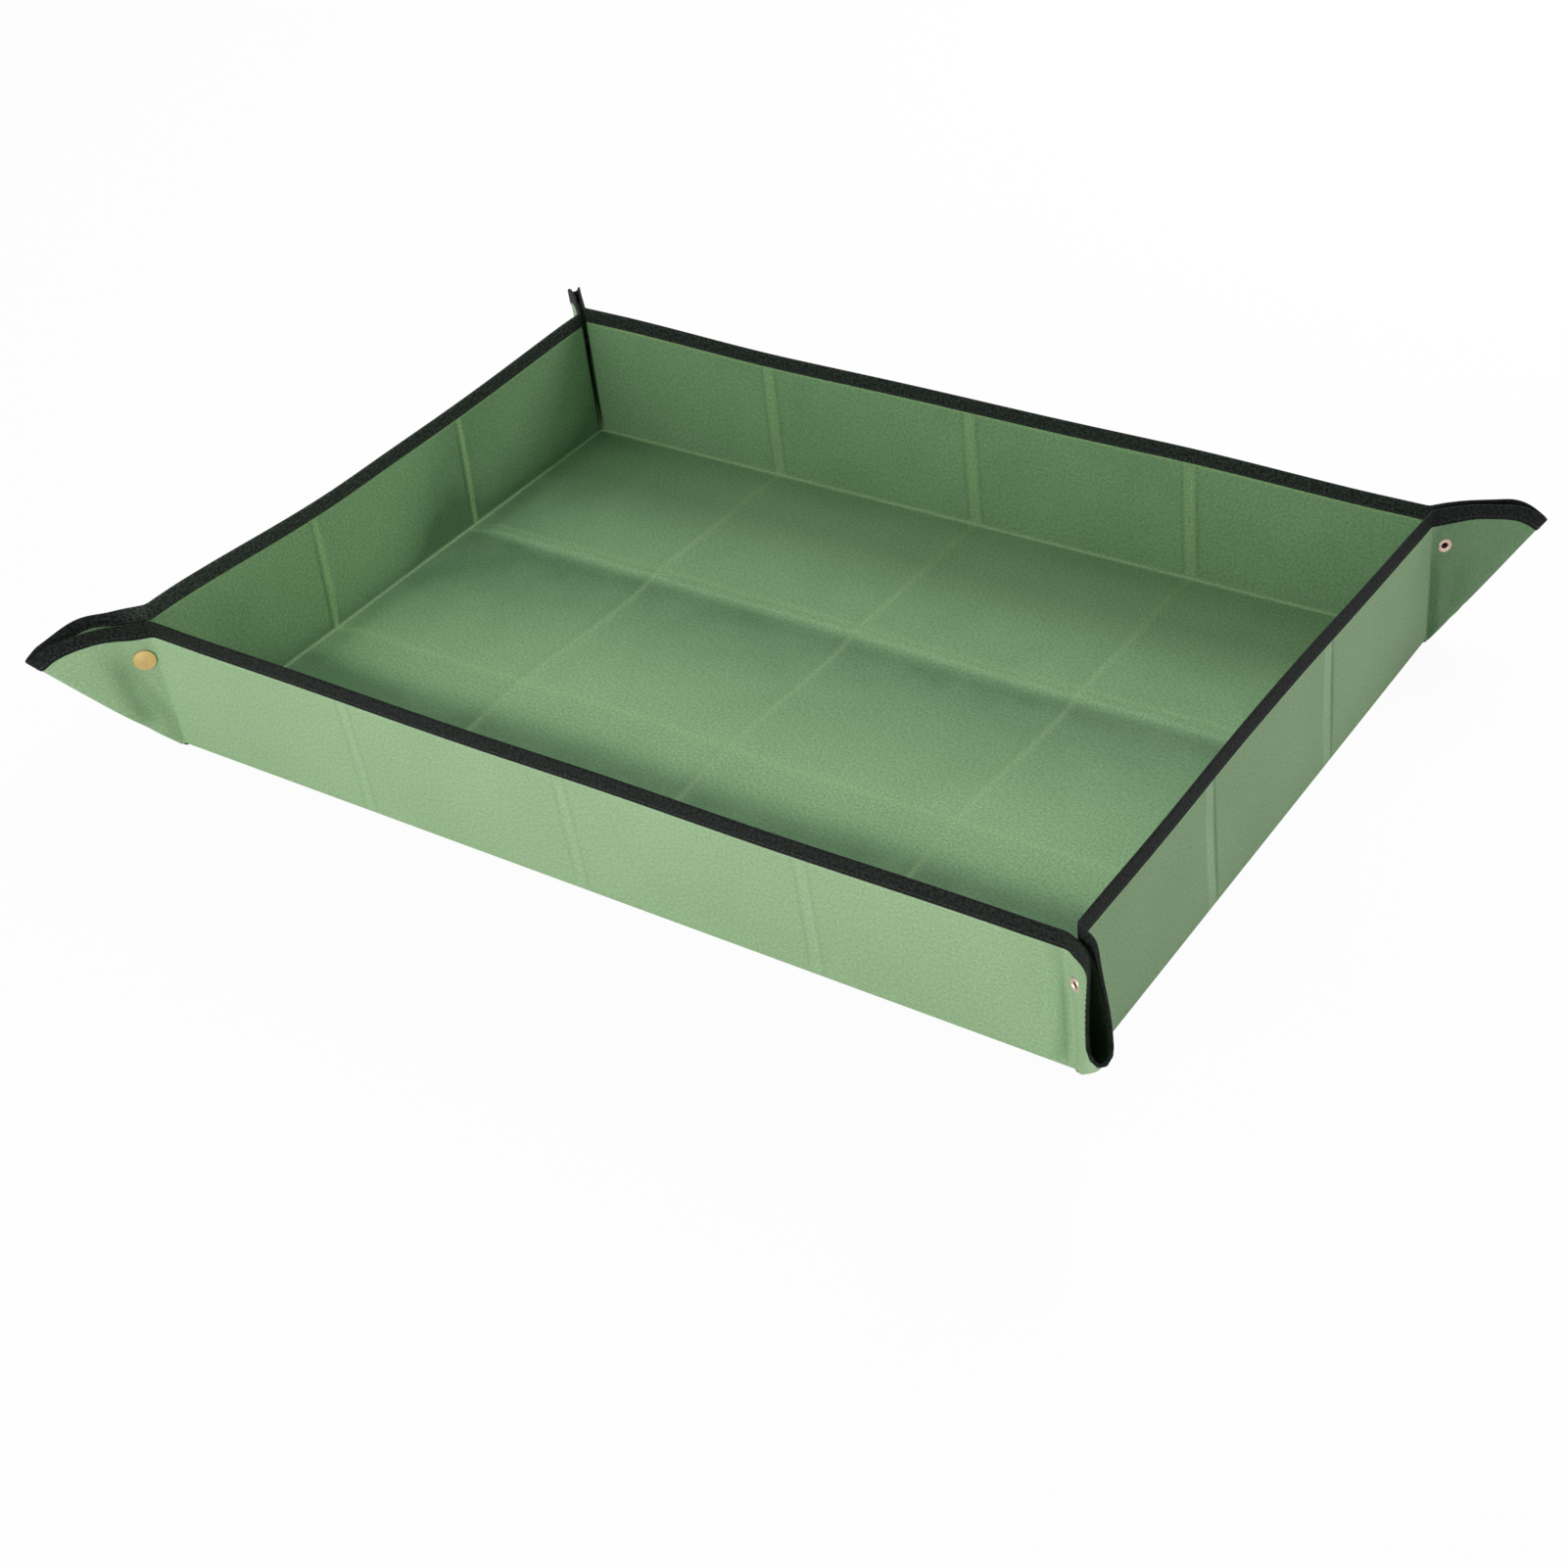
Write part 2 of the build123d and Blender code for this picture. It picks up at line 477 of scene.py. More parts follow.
def cloth_sheet(
    name: str, surface: Surface, along: Array, up: Array, kept: Array, materials: list[Material]
) -> Piece:
    """Make a closed thin sheet over a grid of flat coordinates.

    Args:
        name: Name of the piece.
        surface: Middle surface of the sheet.
        along: Grid of the first flat coordinate.
        up: Grid of the second flat coordinate.
        kept: For each cell of the grid, whether the sheet covers it.
        materials: The inside's finish, then the outside's.

    Returns:
        The new piece.
    """
    parts = MeshParts()
    middle = surface.points(along, up)
    offset = surface.normals(along, up) * SIZES.half_cloth
    flat = surface.flat(along, up)
    rows, columns = along.shape
    index = np.arange(rows * columns).reshape(rows, columns)
    merged = merge_same(middle.reshape(-1, 3))
    used = np.zeros(rows * columns, bool)
    cells = []
    for row, column in zip(*np.nonzero(kept)):
        corners = index[[row, row, row + 1, row + 1], [column, column + 1, column + 1, column]]
        cell = [int(merged[corner]) for corner in corners]
        cells.append(cell)
        used[cell] = True
    slot = np.cumsum(used) - 1
    count = int(used.sum())
    for face in Face:
        shell = (middle + face.value * offset).reshape(-1, 3)[used]
        marks = {key: value.reshape(-1)[used] for key, value in surface.marks(along, up, face).items()}
        parts.add(shell, flat.reshape(-1, 2)[used], marks)
    edges: dict[tuple[int, int], bool] = {}
    for cell in cells:
        ring = [int(slot[corner]) for corner in cell]
        ring = ring if surface.inside > 0 else ring[::-1]
        parts.face(tuple(ring), 0)
        parts.face(tuple(corner + count for corner in reversed(ring)), 1)
        for start, stop in zip(ring, ring[1:] + ring[:1]):
            if start != stop:
                edges[(start, stop)] = True
    for start, stop in edges:
        if (stop, start) not in edges:
            parts.face((stop, start, start + count, stop + count), 1)
    return parts.build(name, materials)


class TapeEdge:
    """Line of the sheet's cut edge over a piece's flat coordinates."""

    def at(self, share: Array, inward: Array) -> tuple[Array, Array]:
        """Flat coordinates at a share of the line, moved in from the edge."""
        raise NotImplementedError

    def narrowing(self, share: Array) -> Array:
        """How much of its usual width the tape keeps at a share of the line."""
        return np.ones_like(share)

    def run_length(self, inward: float) -> float:
        """Length of the line.

        Args:
            inward: Distance in from the edge at which it is measured.

        Returns:
            The length.
        """
        share = np.linspace(0.0, 1.0, 200)
        along, up = self.at(share, np.full_like(share, inward))
        return float(np.hypot(np.diff(along), np.diff(up)).sum())


@dataclass(frozen=True)
class StraightEdge(TapeEdge):
    """Level edge along the top of a wall or fold."""

    start: float
    stop: float

    def at(self, share: Array, inward: Array) -> tuple[Array, Array]:
        """Flat coordinates at a share of the line, moved in from the edge."""
        return self.start + (self.stop - self.start) * share, SIZES.wall - inward


@dataclass(frozen=True)
class CornerEdge(TapeEdge):
    """Edge of a gusset: level at first, then round the sheet's corner to the fin's tip."""

    start: float
    pulled: float = 0.2
    pulled_by: float = 0.45

    def at(self, share: Array, inward: Array) -> tuple[Array, Array]:
        """Flat coordinates on the line.

        Args:
            share: Places along the line, from 0 to 1.
            inward: Distance in from the edge.

        Returns:
            Distance past the upright fold, and height up the sheet.
        """
        level = SIZES.arc_centre - self.start
        arc = SIZES.corner_radius * math.pi / 4.0
        distance = share * (level + arc)
        angle = np.clip((distance - level) / SIZES.corner_radius, 0.0, None)
        radius = SIZES.corner_radius - inward
        on_level = distance < level
        along = np.where(on_level, self.start + distance, SIZES.arc_centre + radius * np.sin(angle))
        up = np.where(on_level, SIZES.wall - inward, SIZES.arc_centre + radius * np.cos(angle))
        return along, up

    def narrowing(self, share: Array) -> Array:
        """How much of its usual width the tape keeps, less where it is pulled round the corner."""
        return 1.0 - self.pulled * smooth(share / self.pulled_by)


@dataclass(frozen=True)
class TapeSection:
    """Section of the folded edge tape: distance in from the cut edge, and offset from the cloth's middle."""

    crown_steps: int = 5
    crown_base: float = 0.3 * MM
    crown_height: float = 0.8 * MM
    crown_share: float = 0.94
    lip: float = 0.05 * MM
    shoulder: Pair = (0.5 * MM, 0.08 * MM)
    bevel: float = 1.6 * MM
    swell: float = 0.06 * MM

    def outline(self) -> Array:
        """Closed outline of the tape round the cloth's edge.

        Returns:
            Pairs of distance from the cut edge and offset, inside face first.
        """
        cloth = SIZES.half_cloth
        turns = np.linspace(0.0, math.pi, self.crown_steps + 2)[1:-1]
        across = SIZES.tape_half * self.crown_share
        crown = [
            (self.crown_base - self.crown_height * math.sin(turn), across * math.cos(turn)) for turn in turns
        ]
        inner = self._face(SIZES.tape_cover)
        outer = [(distance, -offset) for distance, offset in reversed(self._face(SIZES.tape_cover_outside))]
        middle = 0.5 * SIZES.tape_cover
        lining = [(middle, -cloth), (0.0, -cloth), (0.0, cloth), (middle, cloth)]
        return np.array(inner + crown + outer + lining)

    def _face(self, cover: float) -> list[Pair]:
        """Half of the outline over one face, from its lower edge to the crown.

        Args:
            cover: How far the tape reaches down this face.

        Returns:
            Pairs of distance from the cut edge and offset.
        """
        half = SIZES.tape_half
        cloth = SIZES.half_cloth
        return [
            (cover, cloth),
            (cover - self.lip, cloth + 0.6 * (half - cloth)),
            (cover - self.shoulder[0], half - self.shoulder[1]),
            (cover - self.bevel, half),
            (0.68 * cover, half),
            (0.4 * cover, half + self.swell),
            (0.12 * cover, half),
        ]


@dataclass(frozen=True)
class SeamStitch:
    """Lock stitch that holds the tape, on both faces."""

    pitch: float = 3.6 * MM
    length: float = 2.7 * MM
    radius: float = 0.24 * MM
    from_edge: float = 10.2 * MM
    sides: int = 6
    rings: int = 5
    proud: float = 0.75
    sink: float = 1.5
    taper: float = 0.55

    def add(self, parts: MeshParts, surface: Surface, edge: TapeEdge, finish: int) -> None:
        """Add a row of stitches on each face of the tape.

        Args:
            parts: Mesh that the stitches join.
            surface: Surface that carries the tape.
            edge: Line of the cut edge.
            finish: Material index of the thread.
        """
        total = edge.run_length(self.from_edge)
        count = max(1, int(round(total / self.pitch)))
        centres = (np.arange(count) + 0.5) / count
        stations = np.linspace(-1.0, 1.0, self.rings)
        place = centres[:, None] + stations[None, :] * (0.5 * self.length / total)
        along, up = edge.at(place, self.from_edge * edge.narrowing(place))
        lift = SIZES.tape_half + self.radius * (self.proud - self.sink * stations**4)
        girth = self.radius * (1.0 - self.taper * stations**4)
        angles = np.arange(self.sides) * 2.0 * math.pi / self.sides
        upward = np.cos(angles)[None, None, :, None]
        sideways = np.sin(angles)[None, None, :, None]
        for face in Face:
            normal = surface.normals(along, up) * face.value
            spine = surface.points(along, up) + normal * lift[None, :, None]
            tangent = np.gradient(spine, axis=1)
            tangent /= np.linalg.norm(tangent, axis=-1, keepdims=True)
            beside = np.cross(tangent, normal)
            around = normal[:, :, None, :] * upward + beside[:, :, None, :] * sideways
            ring = spine[:, :, None, :] + girth[None, :, None, None] * around
            first = parts.add(ring, np.zeros(ring.shape[:-1] + (2,)), {"dust": np.zeros(ring.shape[:-1])})
            for stitch in range(count):
                parts.tube(first + stitch * self.rings * self.sides, self.rings, self.sides, finish)


TAPE = TapeSection()
STITCH = SeamStitch()


def edge_tape(name: str, surface: Surface, edge: TapeEdge, shares: Array, materials: list[Material]) -> Piece:
    """Make a length of folded tape along an edge, with its stitches.

    Args:
        name: Name of the piece.
        surface: Surface that carries the tape.
        edge: Line of the cut edge.
        shares: Places along the edge, from 0 to 1.
        materials: The tape's finish, then the thread's.

    Returns:
        The new piece.
    """
    parts = MeshParts()
    outline = TAPE.outline()
    share = np.repeat(shares[:, None], len(outline), axis=1)
    inward = outline[None, :, 0] * edge.narrowing(share)
    offset = outline[None, :, 1]
    along, up = edge.at(share, inward)
    points = surface.points(along, up) + surface.normals(along, up) * offset[..., None]
    flat = np.stack([share * edge.run_length(0.0), np.sign(offset) * inward], axis=-1)
    faces_in = np.clip(offset / (0.5 * SIZES.tape_half), 0.0, 1.0)
    # Painted light goes on the tape's inside face only.
    parts.add(points, flat, {"dust": surface.tape_dust(along) * faces_in})
    parts.tube(0, len(shares), len(outline), 0, surface.inside > 0)
    STITCH.add(parts, surface, edge, 1)
    return parts.build(name, materials)


class NodeSketch:
    """Short way to place and join shader nodes in one tree."""

    def __init__(self, tree: Tree) -> None:
        """Work on one node tree."""
        self.tree = tree

    def node(self, kind: str, **settings: object) -> Node:
        """Add a node.

        Args:
            kind: Blender's name of the node.
            settings: Values of the node's own properties.

        Returns:
            The new node.
        """
        made = self.tree.nodes.new(kind)
        for key, value in settings.items():
            setattr(made, key, value)
        return made

    def join(self, source: Socket, target: Socket) -> None:
        """Link one socket to another."""
        self.tree.links.new(source, target)

    def join_all(self, sources: list[Socket], node: Node) -> None:
        """Link sockets to a node's first inputs, in order."""
        for source, target in zip(sources, list(node.inputs)):
            self.join(source, target)

    def show(self, shader: Node, kind: str = "ShaderNodeOutputMaterial") -> None:
        """Make a shader what the tree puts out."""
        self.join(shader.outputs[0], self.node(kind).inputs["Surface"])

    def feed(self, socket: Socket, value: object) -> None:
        """Link a socket, or set its value.

        Args:
            socket: Input to feed.
            value: A socket to link, or the value to set.
        """
        if isinstance(value, Socket):
            self.join(value, socket)
        else:
            socket.default_value = value

    def math(self, operation: str, first: object, second: object = 0.0, third: object = 0.0) -> Socket:
        """Add a Math node.

        Args:
            operation: Blender's name of the operation.
            first: First value or socket.
            second: Second value or socket.
            third: Third value or socket.

        Returns:
            The result's socket.
        """
        made = self.node("ShaderNodeMath", operation=operation)
        for socket, value in zip(made.inputs, (first, second, third)):
            self.feed(socket, value)
        return made.outputs[0]

    def noise(self, vector: Socket, scale: object, detail: float, rough: float) -> Socket:
        """Add a noise texture.

        Args:
            vector: Where the noise is read.
            scale: Waves to a metre.
            detail: How many finer layers it has.
            rough: How strong the finer layers are.

        Returns:
            The value's socket.
        """
        made = self.node("ShaderNodeTexNoise")
        self.join(vector, made.inputs["Vector"])
        for name, value in (("Scale", scale), ("Detail", detail), ("Roughness", rough)):
            self.feed(made.inputs[name], value)
        return made.outputs["Fac"]

    def mix(self, share: object, first: object, second: object, blend: str = "MIX") -> Socket:
        """Mix two colours.

        Args:
            share: How much of the second colour shows.
            first: First colour.
            second: Second colour.
            blend: Blender's name of the blend.

        Returns:
            The colour's socket.
        """
        colour_sockets = (0, 6, 7)
        colour_result = 2
        made = self.node("ShaderNodeMix", data_type="RGBA", blend_type=blend)
        for socket, value in zip(colour_sockets, (share, first, second)):
            self.feed(made.inputs[socket], value)
        return made.outputs[colour_result]

    def attribute(self, name: str) -> Socket:
        """Read a value that the mesh holds for each vertex."""
        return self.node("ShaderNodeAttribute", attribute_name=name).outputs["Fac"]

    def flat_map(self) -> Socket:
        """Read the places on the flat sheet."""
        return self.node("ShaderNodeUVMap", uv_map=FLAT_MAP).outputs[0]

    def object_place(self) -> Socket:
        """Read the places in the tray's frame."""
        return self.node("ShaderNodeTexCoord").outputs["Object"]

    def placed(self, tree: Tree, values: dict[str, object]) -> Node:
        """Place a node group.

        Args:
            tree: The group.
            values: Value or socket for each of its inputs.

        Returns:
            The group's node.
        """
        made = self.node("ShaderNodeGroup", node_tree=tree)
        for name, value in values.items():
            self.feed(made.inputs[name], value)
        return made

    def bump(self, shader: Node, height: Socket, depth: float, strength: float) -> None:
        """Give a shader relief.

        Args:
            shader: The shader.
            height: Height of the relief, from 0 to 1.
            depth: Depth of the relief in metres.
            strength: How strongly it shows.
        """
        made = self.node("ShaderNodeBump")
        made.inputs["Distance"].default_value = depth
        made.inputs["Strength"].default_value = strength
        self.join(height, made.inputs["Height"])
        self.join(made.outputs["Normal"], shader.inputs["Normal"])


class EffectGroups:
    """Shader node groups that several finishes share, each built once."""

    def _new(
        self, name: str, vector: str, sizes: dict[str, float], results: tuple[str, ...]
    ) -> tuple[NodeSketch, Node, Node]:
        """Start a group.

        Args:
            name: Name of the group.
            vector: Name of the input that says where the effect is read.
            sizes: Name and default of each number that goes in.
            results: Name of each number that comes out.

        Returns:
            A sketch of its tree, its input node and its output node.
        """
        tree = bpy.data.node_groups.new(name, "ShaderNodeTree")
        tree.interface.new_socket(name=vector, in_out="INPUT", socket_type="NodeSocketVector")
        for label, default in sizes.items():
            socket = tree.interface.new_socket(name=label, in_out="INPUT", socket_type="NodeSocketFloat")
            socket.default_value = default
        for label in results:
            tree.interface.new_socket(name=label, in_out="OUTPUT", socket_type="NodeSocketFloat")
        sketch = NodeSketch(tree)
        return sketch, sketch.node("NodeGroupInput"), sketch.node("NodeGroupOutput")

    @cached_property
    def weave(self) -> Tree:
        """Woven grain over the flat map: tone of the threads, slow mottling and relief.

        Returns:
            The group.
        """
        sizes = {"Thread Pitch": 0.8 * MM, "Fleck Size": 2 * MM}
        sketch, given, result = self._new("woven_grain", "Flat", sizes, ("Tone", "Mottle", "Relief"))
        flat, pitch, fleck = (given.outputs[name] for name in ("Flat", *sizes))
        turns = sketch.node("ShaderNodeVectorMath", operation="SCALE")
        sketch.join(flat, turns.inputs[0])
        sketch.join(sketch.math("DIVIDE", 2.0 * math.pi, pitch), turns.inputs["Scale"])
        split = sketch.node("ShaderNodeSeparateXYZ")
        sketch.join(turns.outputs[0], split.inputs[0])
        warp, weft = (sketch.math("SINE", split.outputs[axis]) for axis in ("X", "Y"))
        over = sketch.math("MULTIPLY", warp, weft)
        flecks = sketch.noise(flat, sketch.math("DIVIDE", 1.0, fleck), 3.0, 0.62)
        slow = sketch.noise(flat, 9.0, 3.0, 0.55)
        relief = sketch.math("MULTIPLY_ADD", over, 0.32, sketch.math("MULTIPLY", flecks, 0.7))
        sketch.join_all([flecks, slow, relief], result)
        return sketch.tree

    @cached_property
    def fold_pale_and_painted_shade(self) -> Tree:
        """Pale fold lines and the soft shade beside them, broken up along their length.

        Returns:
            The group.
        """
        sketch, given, result = self._new("fold_pale_and_painted_shade", "Flat", {}, ("Pale", "Shade"))
        patchy = sketch.noise(given.outputs["Flat"], 26.0, 3.0, 0.6)
        drawn = []
        # The crease mark holds pale fold lines and a painted highlight along the base fold; the shade mark is
        # painted shade.
        for mark, swing, least in (("crease", 1.1, 0.35), ("shade", 0.5, 0.75)):
            strength = sketch.math("MULTIPLY_ADD", patchy, swing, least)
            value = sketch.math("MULTIPLY", sketch.attribute(mark), strength)
            drawn.append(sketch.math("MINIMUM", value, 1.0))
        sketch.join_all(drawn, result)
        return sketch.tree

    @cached_property
    def patina(self) -> Tree:
        """Handling marks on the small metal parts: stain and fine scuffs.

        Returns:
            The group.
        """
        sketch, given, result = self._new("metal_patina", "Place", {"Stain Size": 4 * MM}, ("Stain", "Scuff"))
        place = given.outputs["Place"]
        stain = sketch.noise(place, sketch.math("DIVIDE", 1.0, given.outputs["Stain Size"]), 4.0, 0.6)
        sketch.join_all([stain, sketch.noise(place, 2600.0, 2.0, 0.7)], result)
        return sketch.tree


GROUPS = EffectGroups()


def fresh_sketch(holder: Material | bpy.types.World) -> NodeSketch:
    """Empty a node tree, to draw it anew.

    Args:
        holder: The material or surroundings that holds the tree.

    Returns:
        A sketch of the empty tree.
    """
    holder.use_nodes = True
    holder.node_tree.nodes.clear()
    return NodeSketch(holder.node_tree)


def new_material(name: str) -> tuple[Material, NodeSketch, Node]:
    """Start a material with one Principled shader.

    Args:
        name: Name of the material.

    Returns:
        The material, a sketch of its tree and its shader.
    """
    material = bpy.data.materials.new(name)
    sketch = fresh_sketch(material)
    shader = sketch.node("ShaderNodeBsdfPrincipled")
    sketch.show(shader)
    return material, sketch, shader


@dataclass(frozen=True)
class Weave:
    """Woven grain of a finish: its threads, flecks, sheen and relief (depth and strength)."""

    thread_pitch: float
    fleck_size: float
    roughness: float
    specular: float
    relief: Pair
    roughness_swing: float = 0.2

    def dress(self, sketch: NodeSketch, shader: Node) -> Node:
        """Give a shader the weave's roughness, sheen and relief.

        Args:
            sketch: Sketch of the material's tree.
            shader: Its shader.

        Returns:
            The weave's node, for its tones.
        """
        sizes = {"Thread Pitch": self.thread_pitch, "Fleck Size": self.fleck_size}
        weave = sketch.placed(GROUPS.weave, {"Flat": sketch.flat_map(), **sizes})
        rough = sketch.math("MULTIPLY_ADD", weave.outputs["Tone"], self.roughness_swing, self.roughness)
        sketch.join(rough, shader.inputs["Roughness"])
        shader.inputs["Specular IOR Level"].default_value = self.specular
        sketch.bump(shader, weave.outputs["Relief"], *self.relief)
        return weave


@dataclass(frozen=True)
class ClothFinish:
    """One face of the coated cloth."""

    name: str
    colour: Colour
    mottled: Colour
    # The pale colour paints the pale fold lines and the painted highlight along the base fold; the shaded
    # colour paints the painted shade.
    pale_line: Colour
    shaded: Colour
    shade_share: float = 0.8
    pale_line_share: float = 0.75
    grain: float = 0.9
    weave: Weave = Weave(0.9 * MM, 2.1 * MM, roughness=0.52, specular=0.22, relief=(0.25 * MM, 0.45))

    def material(self) -> Material:
        """Build the finish.

        Returns:
            The material.
        """
        material, sketch, shader = new_material(self.name)
        weave = self.weave.dress(sketch, shader).outputs
        fold_marks = sketch.placed(GROUPS.fold_pale_and_painted_shade, {"Flat": sketch.flat_map()}).outputs
        base = sketch.mix(weave["Mottle"], linear_colour(self.colour), linear_colour(self.mottled))
        # Mix in the painted shade, then the pale fold lines and the painted highlight.
        marks = (("Shade", self.shade_share, self.shaded), ("Pale", self.pale_line_share, self.pale_line))
        for mark, share, colour in marks:
            base = sketch.mix(sketch.math("MULTIPLY", fold_marks[mark], share), base, linear_colour(colour))
        speckle = sketch.math("MULTIPLY_ADD", weave["Tone"], self.grain, 1.0 - self.grain / 2)
        sketch.join(sketch.mix(1.0, base, speckle, "MULTIPLY"), shader.inputs["Base Color"])
        return material


@dataclass(frozen=True)
class TapeFinish:
    """Black woven edge tape, painted paler in places: painted light."""

    name: str = "edge_tape_black"
    colour: Colour = (2, 5, 3)
    fleck: Colour = (43, 50, 45)
    dusty: Colour = (30, 36, 32)
    dusty_fleck: Colour = (81, 91, 84)
    fleck_share: Pair = (3.4, -1.35)
    weave: Weave = Weave(1.1 * MM, 2.4 * MM, roughness=0.66, specular=0.13, relief=(0.3 * MM, 0.6))

    def material(self) -> Material:
        """Build the finish.

        Returns:
            The material.
        """
        material, sketch, shader = new_material(self.name)
        tone = self.weave.dress(sketch, shader).outputs["Tone"]
        share = sketch.math("MULTIPLY_ADD", tone, *self.fleck_share)
        share = sketch.math("MINIMUM", sketch.math("MAXIMUM", share, 0.0), 1.0)
        # Painted light: the tape's inside face on the back and left walls is painted paler.
        dust = sketch.attribute("dust")
        ground = sketch.mix(dust, linear_colour(self.colour), linear_colour(self.dusty))
        flecks = sketch.mix(dust, linear_colour(self.fleck), linear_colour(self.dusty_fleck))
        sketch.join(sketch.mix(share, ground, flecks), shader.inputs["Base Color"])
        return material


@dataclass(frozen=True)
class ThreadFinish:
    """Sewing thread along the tape."""

    name: str = "sewing_thread_black"
    colour: Colour = (20, 22, 21)
    fleck: Colour = (46, 48, 46)
    roughness: float = 0.5
    twist_scale: float = 1800.0
    relief: Pair = (0.1 * MM, 0.5)

    def material(self) -> Material:
        """Build the finish.

        Returns:
            The material.
        """
        material, sketch, shader = new_material(self.name)
        twist = sketch.noise(sketch.object_place(), self.twist_scale, 2.0, 0.5)
        base = sketch.mix(twist, linear_colour(self.colour), linear_colour(self.fleck))
        sketch.join(base, shader.inputs["Base Color"])
        shader.inputs["Roughness"].default_value = self.roughness
        sketch.bump(shader, twist, *self.relief)
        return material


@dataclass(frozen=True)
class MetalFinish:
    """Plated metal of a snap part."""

    name: str
    colour: Colour
    stained: Colour
    roughness: float
    roughness_swing: float = 0.25
    stain_size: float = 5 * MM
    relief: Pair = (0.05 * MM, 0.25)

    def material(self) -> Material:
        """Build the finish.

        Returns:
            The material.
        """
        material, sketch, shader = new_material(self.name)
        places = {"Place": sketch.object_place(), "Stain Size": self.stain_size}
        marks = sketch.placed(GROUPS.patina, places).outputs
        base = sketch.mix(marks["Stain"], linear_colour(self.colour), linear_colour(self.stained))
        sketch.join(base, shader.inputs["Base Color"])
        rough = sketch.math("MULTIPLY_ADD", marks["Scuff"], self.roughness_swing, self.roughness)
        sketch.join(rough, shader.inputs["Roughness"])
        shader.inputs["Metallic"].default_value = 1.0
        sketch.bump(shader, marks["Scuff"], *self.relief)
        return material


@dataclass
class Finishes:
    """Every finish of the tray, built once; cloth is inside then outside, edging is tape then thread."""

    cloth: list[Material]
    edging: list[Material]
    brass: Material
    nickel: Material
    dark_nickel: Material
    steel: Material

    @classmethod
    def make(cls) -> "Finishes":
        """Build the finishes.

        Returns:
            The finishes.
        """
        inside = ClothFinish(
            "cloth_inside_green", (151, 188, 141), (129, 168, 121), (168, 198, 139), (66, 102, 70), grain=1.4
        )
        outside = ClothFinish(
            "cloth_outside_green", (157, 188, 145), (142, 173, 131), (176, 205, 165), (40, 93, 54),
            shade_share=0.85, pale_line_share=0.5,
        )
        return cls(
            cloth=[inside.material(), outside.material()],
            edging=[TapeFinish().material(), ThreadFinish().material()],
            brass=MetalFinish("brass_plated", (216, 196, 134), (186, 152, 90), 0.3).material(),
            nickel=MetalFinish("nickel_warm", (228, 204, 188), (190, 162, 148), 0.22).material(),
            # Nickel painted dark for the socket and stud: painted shade in the slit between the gussets.
            dark_nickel=MetalFinish("nickel_painted_shade", (40, 39, 38), (28, 28, 27), 0.43).material(),
            steel=MetalFinish("spring_steel", (150, 150, 150), (110, 108, 106), 0.24).material(),
        )


@dataclass(frozen=True)
class RowFold:
    """One long storage fold across the floor: how it stands up, and the shade on its near side."""

    place: float
    rise: float
    near: float
    far: float
    pale: float
    shade: float
    shade_start: float
    shade_full: float
    shade_fade: float

    def height(self, x: Array, y: Array) -> Array:
        """How far the fold lifts the floor."""
        past = ROW_SWAY.past(self.place, y, x)
        return self.rise * np.where(past < 0, bell(past, self.near), bell(past, self.far))

    def marks(self, x: Array, y: Array) -> tuple[Array, Array]:
        """Pale line and painted shade along the fold.

        Args:
            x: Place along the length.
            y: Place along the width.

        Returns:
            Strength of the pale line and of the shade.
        """
        past = ROW_SWAY.past(self.place, y, x)
        beyond = -past - self.shade_start
        fade = np.clip(1.0 - (beyond - self.shade_full) / self.shade_fade, 0.0, 1.0)
        pale = self.pale * bell(past - 1 * MM, 3 * MM)
        return pale, self.shade * (smooth(beyond / self.shade_full) * fade)


